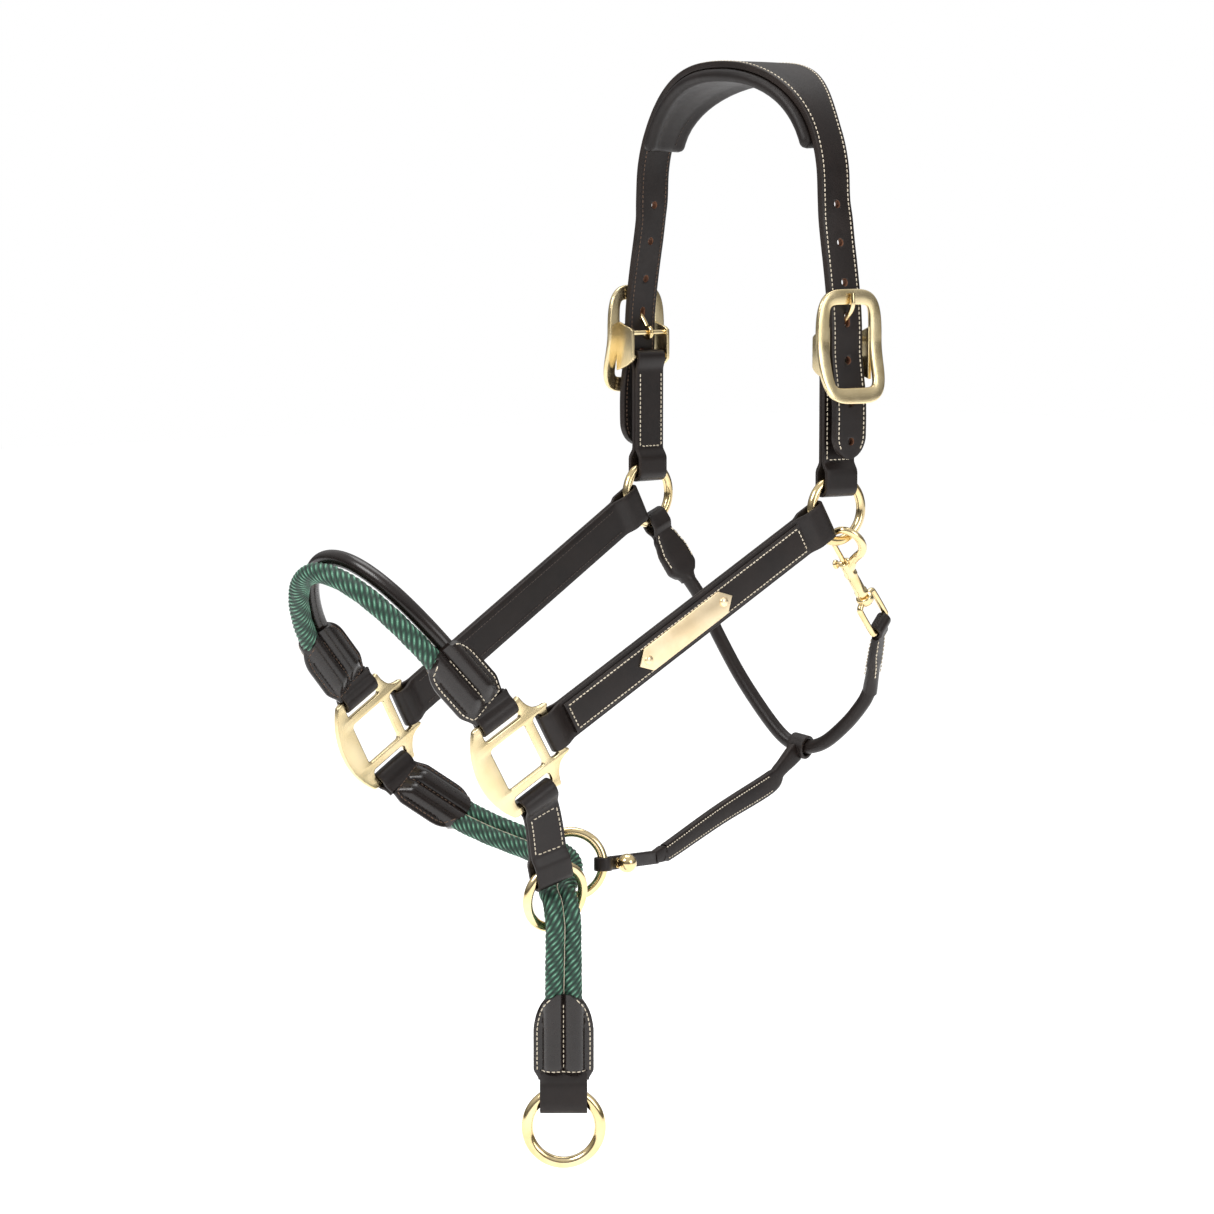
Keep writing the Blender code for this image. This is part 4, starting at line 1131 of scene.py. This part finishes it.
def make_rope_seam(seam):
    """The cream thread that shows between the two ropes."""
    shape = bmesh.new()
    for face in (-1, 1):
        points = []
        for k in range(int(seam.length / 2) + 1):
            distance = k * 2.0
            points.append(seam.at(distance, 0.0, face * (2.2 + 0.15 * math.sin(k * 2.1))))
        run = Line(points, [Vector((0.3, 0.2, 1))] * len(points))
        round_tube(shape, run, 0.32, 6, 2.0)
    made = finish_mesh("rope_pair_thread", shape, (THREAD,), None, (), 70)
    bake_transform(made)


def make_lead_end():
    pivot = LEAD.copy()
    base = axes(pivot, -UP, LEAD_ACROSS)
    neck = 612.0
    sections = []
    for k in range(61):
        distance = 560 + (614 - 560) * k / 60
        width = 31 + 6 * smooth_step(564, 584, distance)
        if distance < 576:
            share = (576 - distance) / 16
            width *= max(0.1, 1 - share**2.4) ** (1 / 2.4)
        width -= 6.0 * smooth_step(607, 614, distance)
        sections.append((distance, width, 7.7 - 4.6 * smooth_step(604, 613.5, distance)))
    made, surface = padded_tab("lead_end_padding", None, pivot, LEAD_ACROSS, -UP, sections,
                               5.9, 6.9, "lead_drop", False)
    eye_radius = LEAD_WIRE + 1.6 + LAYER / 2
    wire = -(LEAD_RING_Z + LEAD_RING_R)
    sagitta = LEAD_RING_R - math.sqrt(LEAD_RING_R**2 - 14.5**2)
    half = eye_path(-(wire + sagitta + 1.2), eye_radius, -(wire - 4.6), 7, 2.2)
    half.append((-(neck - 4), 2.2))
    path = [(-x, y) for x, y in half]
    path = [(x, -y) for x, y in path[1:]][::-1] + path
    path_strap("lead_end_loop", base, path, 29.0, LAYER, "lead_drop", (), False)
    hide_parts("lead_end_leather")
    sewn = Stitches("lead_end_stitching", "lead_drop")
    for face in (1, -1):
        sew_face(sewn, surface, sections, face, (-1, 1), (562.5, 608), (566, 606), 608, 14)
    sewn.done()
    torus("lead_ring_brass", LEAD + UP * LEAD_RING_Z, LEAD_ACROSS.cross(UP),
                             LEAD_RING_R, LEAD_WIRE, "lead_ring", ("lead_ring",))


# ---------------------------------------------------------------- chin strap and throat
def make_chin():
    near = SIDES[NEAR]
    bar = near.square - near.across_cheek * BAR_CENTRE
    bar_line = -near.cheek
    leave = square_to(CHIN_RING - bar, bar_line)
    arrive = square_to(CHIN_RING - bar, CHIN_NORMAL)
    wire = CHIN_RING - arrive * RING_R
    points = bezier(bar, bar + leave * 18, wire - arrive * 18, wire, 40)
    length = sum((b - a).length for a, b in zip(points, points[1:]))
    ring_line = CHIN_NORMAL.cross(arrive)
    if ring_line.dot(bar_line) < 0:
        ring_line = -ring_line
    acrosses = [bar_line.lerp(ring_line, smooth_step(0.1, 0.9, k / 40)) for k in range(41)]
    spine = Line(points, acrosses)
    corner, radius, far = ring_eye(RING_R, RING_WIRE, STRAP, LAYER)
    path = dense(doubled_path((0, BAR_EYE + 0.7 + LAYER / 2, 1.5, 8),
                              (length + RING_R - corner, radius, length + RING_R - far, 8),
                              (LAYER + GAP) / 2), True)
    made, sides = [], []
    for distance, offset in path:
        inside = min(max(distance, 0), spine.length)
        point, run, across, normal = spine.frame(inside)
        made.append(point + run * (distance - inside) + normal * offset)
        sides.append(across)
    line_strap("near_chin_leather", Line(made, sides, True), STRAP, LAYER, "harness",
               ("near_chin_strap",))
    low, high = 11.5, spine.length - 12.5
    face = (LAYER + GAP) / 2 + LAYER / 2 + 0.12
    sew_strap("near_chin_stitching", spine, low, high, face, (low, high))
    torus("chin_ring_brass", CHIN_RING, CHIN_NORMAL, RING_R, RING_WIRE, "chin_ring", ("chin_ring",))
    torus("back_ring_brass", BACK_RING, BACK_NORMAL, RING_R, RING_WIRE, "back_ring", ("back_ring",))


THROAT = [Vector(p) for p in (
    (17.3, 79.8, -328.4), (27, 75, -345), (34, 63, -372), (40, 44, -402), (46, 17, -432),
    (50, 0, -440), (54, -17, -437), (59, -34, -423), (62, -47, -408), (63, -53, -398))]


def paddle(name, node, bar, bar_line, along, eye, sections, body="harness"):
    """A folded tab that narrows from flat leather into a roll."""
    shape = bmesh.new()
    base = axes(bar, along, bar_line)
    turn = base.to_3x3()
    out, up, across = (turn @ Vector(v) for v in ((1, 0, 0), (0, 1, 0), (0, 0, 1)))
    first, last = sections[0][0], sections[-1][0]
    rows = []
    for k in range(41):
        distance = first + (last - first) * k / 40
        wide, deep = section_at(sections, distance, smooth_step)
        row = []
        for j in range(36):
            angle = 2 * math.pi * j / 36
            power = 0.62 if deep < wide * 0.6 else 1.0
            c, s = math.cos(angle), math.sin(angle)
            a = wide / 2 * math.copysign(abs(c) ** power, c)
            n = deep / 2 * math.copysign(abs(s) ** power, s)
            row.append(bar + out * distance + across * a + up * n)
        rows.append(row)
    loft(shape, rows)
    made = finish_mesh(name, shape, (LEATHER,), body, (node,), 60)
    fold_base = axes(bar, square_to(along, bar_line), bar_line)
    path = fold_path(*eye, 1.6, first + 4)
    path_strap(name + "_fold", fold_base, path, sections[0][1], LAYER, body, (), False)
    sewn = Stitches(name + "_stitching", body)
    for face in (1, -1):
        for sign in (-1, 1):
            def place(distance):
                wide, deep = section_at(sections, distance, smooth_step)
                return (bar + out * distance + across * sign * (wide / 2 - 2.0)
                        + up * face * (deep / 2 * 0.93)), up * face
            sewn.along(place, first + 1, last * 0.72, PITCH)
    sewn.done()
    return made


def make_throat():
    off = SIDES[OFF]
    turn = math.radians(21.5)
    down = -off.forward * math.sin(turn) - UP * math.cos(turn)
    tangent = off.forward * math.cos(turn) - UP * math.sin(turn)
    wire = off.ring + down * RING_R
    along = Vector((17, 80, -328)) - wire
    corner, radius, far = ring_eye(RING_R, RING_WIRE, 13.0, LAYER)
    paddle("off_throat_leather", "off_throat_tab", wire, tangent, along,
           (corner - RING_R, radius, far - RING_R, 6),
           ((8.5, 16, 6), (15, 21.5, 6.4), (25, 26, 7), (36, 25.5, 8),
            (along.length + 5, 11, 10.4)))
    path = through(THROAT, 8)
    tube_piece("rolled_throat", Line(path, [Vector((0.3, 0.2, 1))] * len(path)), 4.6, 28, 1.5,
               (LEATHER,), "harness", ("throat_roll",))


def make_back_strap():
    middle = THROAT[5]
    throat_along = (THROAT[6] - THROAT[4]).normalized()
    wire = BACK_RING + LEAD_ACROSS * RING_R
    ring_line = BACK_NORMAL.cross(LEAD_ACROSS)
    along = square_to(Vector((-108, -35, -485)) - wire, ring_line)
    tail = wire + along * 64
    second = Vector((26, -5, -454))
    lead_off = (second - middle).normalized()
    stops = [(middle + lead_off * 6.8, 13), (middle + lead_off * 14, 12), (second, 9.5),
             (Vector((14, -8, -461)), 14), (Vector((-40, -19, -475)), 13),
             (tail + Vector((17, 4.3, 2.6)), 11.5), (tail + Vector((9, 2.2, 1.3)), 10.4),
             (tail, 7.6)]
    points = through([p for p, _ in stops], 10)
    line = Line(points, [Vector((0.1, 0.1, 1))] * len(points))
    width = width_along(line, [w for _, w in stops], 10)
    strap("back_strap_leather", line, width, 4.6, ("back_strap",), 0.5, 1.5)
    sewn = Stitches("back_strap_stitching", "harness", THREAD, 0.36)
    start = line.steps[30]
    for face in (1, -1):
        for sign in (-1, 1):
            sewn.ribbon(line, start, line.length - 12, lambda d: sign * (width(d) / 2 - 2.0),
                        face * 2.42, 2.8)
    sewn.done()
    inner = 4.5 + GAP + 1.2
    hoop = arc((0, 0), inner + LAYER / 2 - 0.2, 0, 360, 40)[:-1]
    base = axes(middle, square_to(lead_off, throat_along), throat_along)
    path_strap("back_strap_collar", base, hoop, 12, LAYER, "harness", ())

    base = axes(wire, along, ring_line)
    path = fold_path(-0.6, RING_WIRE + GAP + 1.2, 1, 7, 1.1, 67)
    path_strap("thin_billet", base, path, 8.4, 1.8, "harness", ("back_billet",), False)
    outward = base.to_3x3() @ Vector((0, 1, 0))
    outward = outward if outward.y < 0 else -outward
    foot = wire + along * 14
    neck = 2.0 + GAP
    ball = [(0, 3.4), (0.7, 3.4), (0.9, 2.4), (2.2, 2.2)]
    ball += [(6.8 - 6 * math.cos(math.radians(a)), 6 * math.sin(math.radians(a)))
             for a in range(28, 180, 8)]
    turned_piece("ball_stud_brass", foot + outward * neck, foot + outward * (neck + 1), ball,
                 40, (BRASS,), ("ball_stud",))
    turned_piece("stud_base_brass", foot - outward * neck, foot - outward * (neck + 1),
                 [(0, 4.0), (0.5, 4.2), (1.0, 3.6), (1.3, 2.0)], 28, (BRASS,), ("stud_base",))


# ---------------------------------------------------------------- swivel snap
SNAP_HANG = math.radians(20)
SNAP_AXIS = Vector((0.657, 0.106, -0.746)).normalized()
HOOK_LONG, HOOK_WIDE, HOOK_WIRE = 12.0, 9.5, 2.5
BARREL_SIDE, BARREL_END, EYE_BAR, EYE_HALF = -9.0, 46.0, 74.0, 9.5


def make_snap():
    near = SIDES[NEAR]
    wire = near.ring + (-near.forward * math.sin(SNAP_HANG) - UP * math.cos(SNAP_HANG)) * RING_R
    side = square_to(Vector((0.35, -0.79, 0.12)), SNAP_AXIS)
    face = SNAP_AXIS.cross(side)
    centre = wire + SNAP_AXIS * (HOOK_LONG - RING_WIRE - HOOK_WIRE - 2.1)

    def at(along, across, deep=0.0):
        return centre + SNAP_AXIS * along + side * across + face * deep

    def on_axis(along):
        return at(along, BARREL_SIDE)

    hook = [at(-HOOK_LONG * math.cos(math.radians(a)), HOOK_WIDE * math.sin(math.radians(a)))
            for a in range(-52, 166, 7)]
    hook += [at(15, -2.5), at(19, -5.2), at(22, -7.5)]
    line = Line(hook, [face] * len(hook))
    shape = bmesh.new()
    round_tube(shape, line, lambda d: 2.1 + 0.75 * smooth_step(0, 34, d), 20, 1.0)
    turned(shape, on_axis(15), on_axis(16),
           [(0, 2.4), (0.0, 3.6), (0.6, 4.2), (1.6, 4.2), (2.2, 3.8), (9, 3.8), (10, 4.3),
            (12, 4.3), (13, 3.8), (26, 3.7), (27, 4.4), (29.5, 4.4), (30.5, 3.6), (31, 2.6),
            (31.4, 1.8), (37.4, 1.8), (37.6, 3.2), (38.4, 3.4), (39.2, 2.6), (39.4, 0.8)], 36)
    finish_mesh("snap_hook_body", shape, (BRASS,), "snap_body", ("snap_hook",), 50)

    shape = bmesh.new()
    turned(shape, on_axis(-3.2), on_axis(20), capsule(31.2, 1.6, 0.4), 20)
    turned(shape, at(16.2, BARREL_SIDE), at(16.2, BARREL_SIDE - 5), capsule(7.0, 1.6, 0.3), 20)
    turned(shape, at(16.2, BARREL_SIDE - 5.0), at(16.2, BARREL_SIDE - 9),
           [(0, 1.6), (0.2, 2.7), (0.9, 3.1), (2.0, 3.0), (2.6, 2.2), (2.8, 0.8)], 24)
    finish_mesh("snap_bolt_brass", shape, (BRASS,), "snap_bolt", ("snap_bolt",), 50)

    coil = []
    for k in range(6 * 24 + 1):
        turn = 2 * math.pi * k / 24
        coil.append(at(29 + 10 * k / 144, BARREL_SIDE + 1.5 * math.cos(turn),
                       1.5 * math.sin(turn)))
    spring = tube_piece("snap_spring_wire", Line(coil, [SNAP_AXIS] * len(coil)), 0.35, 8, 0.4,
                        (STEEL,), None, ())
    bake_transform(spring)
    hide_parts("snap_spring")

    bar_middle = on_axis(EYE_BAR)
    along = THROAT[-1] - bar_middle
    cross = square_to(Vector((0.731, 0.152, 0.665)), SNAP_AXIS)
    half = [(BARREL_END + 3.6, 4), (BARREL_END + 4.6, EYE_HALF - 1), (54, EYE_HALF),
            (EYE_BAR - 3, EYE_HALF), (EYE_BAR - 0.8, EYE_HALF - 0.8), (EYE_BAR, EYE_HALF - 3)]
    loop = [on_axis(x) + cross * y for x, y in half]
    loop += [on_axis(x) - cross * y for x, y in reversed(half)]
    loop = through(loop + [loop[0]], 5)[:-1]
    shape = bmesh.new()
    round_tube(shape, Line(loop, [cross.cross(SNAP_AXIS)] * len(loop), True), 2.0, 18, 0.8)
    turned(shape, on_axis(BARREL_END + 0.6), on_axis(BARREL_END + 6),
           [(0, 4.4), (0.5, 5.3), (1.2, 5.6), (4.2, 5.6), (4.9, 5.3), (5.4, 4.2)], 36)
    finish_mesh("snap_eye_brass", shape, (BRASS,), "harness", ("snap_eye",), 50)
    paddle("near_throat_leather", "near_throat_tab", bar_middle, cross, along,
           (0, 2.0 + GAP + 0.3 + LAYER / 2, 1, 6),
           ((8, 14, 5.6), (20, 16, 6.4), (34, 13, 8), (along.length + 2, 9.8, 9.8)))


# ---------------------------------------------------------------- stage
def make_stage():
    reach, floor_z = 7000, -720
    shape = bmesh.new()
    shape.faces.new([shape.verts.new((x * reach, y * reach, floor_z))
                     for x, y in ((-1, -1), (1, -1), (1, 1), (-1, 1))])
    back = Vector((-math.sin(VIEW_TURN), math.cos(VIEW_TURN), 0))
    right = Vector((math.cos(VIEW_TURN), math.sin(VIEW_TURN), 0))
    made, _, shader = material("pale_floor")
    shader.inputs["Base Color"].default_value = (0.93, 0.93, 0.93, 1)
    shader.inputs["Roughness"].default_value = 0.9
    shader.inputs["Emission Color"].default_value = (1, 1, 1, 1)
    shader.inputs["Emission Strength"].default_value = 0.45
    floor = finish_mesh("floor", shape, (made,), None, (), 60)

    world = bpy.data.worlds.new("studio")
    bpy.context.scene.world = world
    world.use_nodes = True
    tree = world.node_tree
    split = tree.nodes.new("ShaderNodeSeparateXYZ")
    tree.links.new(tree.nodes.new("ShaderNodeTexCoord").outputs["Generated"], split.inputs[0])
    half = tree.nodes.new("ShaderNodeMath")
    half.operation = "MULTIPLY_ADD"
    half.inputs[1].default_value = half.inputs[2].default_value = 0.5
    tree.links.new(split.outputs["Z"], half.inputs[0])
    sky = ramp(tree, [(0.0, (0.55, 0.55, 0.55)), (0.35, (0.14, 0.14, 0.14)),
                      (0.55, (0.16, 0.16, 0.16)), (0.78, (0.8, 0.8, 0.8)), (1.0, (1, 1, 1))],
               half.outputs[0])
    backdrop = tree.nodes.new("ShaderNodeMix")
    backdrop.data_type = "RGBA"
    backdrop.inputs[7].default_value = (1.25, 1.25, 1.25, 1)
    tree.links.new(tree.nodes.new("ShaderNodeLightPath").outputs["Is Camera Ray"],
                   backdrop.inputs[0])
    tree.links.new(sky, backdrop.inputs[6])
    tree.links.new(backdrop.outputs[2], tree.nodes["Background"].inputs["Color"])
    tree.nodes["Background"].inputs["Strength"].default_value = 0.8

    def light(name, place, power, size, colour=(1, 1, 1)):
        data = bpy.data.lights.new(name, "AREA")
        data.energy, data.size, data.color = power, size, colour
        lamp = bpy.data.objects.new(name, data)
        bpy.context.scene.collection.objects.link(lamp)
        aim = Vector((-0.12, 0, -0.33)) - place
        facing = aim.to_track_quat("-Z", "Y").to_matrix().to_4x4()
        lamp.matrix_world = Matrix.Translation(place) @ facing

    light("key", back * -1.3 + right * -1.2 + UP * 1.1, 26, 0.9)
    light("fill", back * -1.4 + right * 1.4 + UP * 0.3, 12, 1.1)
    light("top", back * 0.3 + UP * 1.5, 16, 1.2)
    bpy.context.scene.view_settings.view_transform = "Standard"


def main():
    make_camera()
    make_lead_end()
    make_control()
    make_headpiece()
    for side in SIDES.values():
        make_buckle(side)
        make_chape(side)
        torus(f"{side.name}_ring_brass", side.ring, side.out, RING_R, RING_WIRE,
              f"{side.name}_ring", (f"{side.name}_ring",))
    face = make_cheek(SIDES[NEAR])
    make_cheek(SIDES[OFF])
    make_name_plate(face)
    make_nose()
    make_chin()
    make_throat()
    make_back_strap()
    make_snap()
    make_stage()


main()
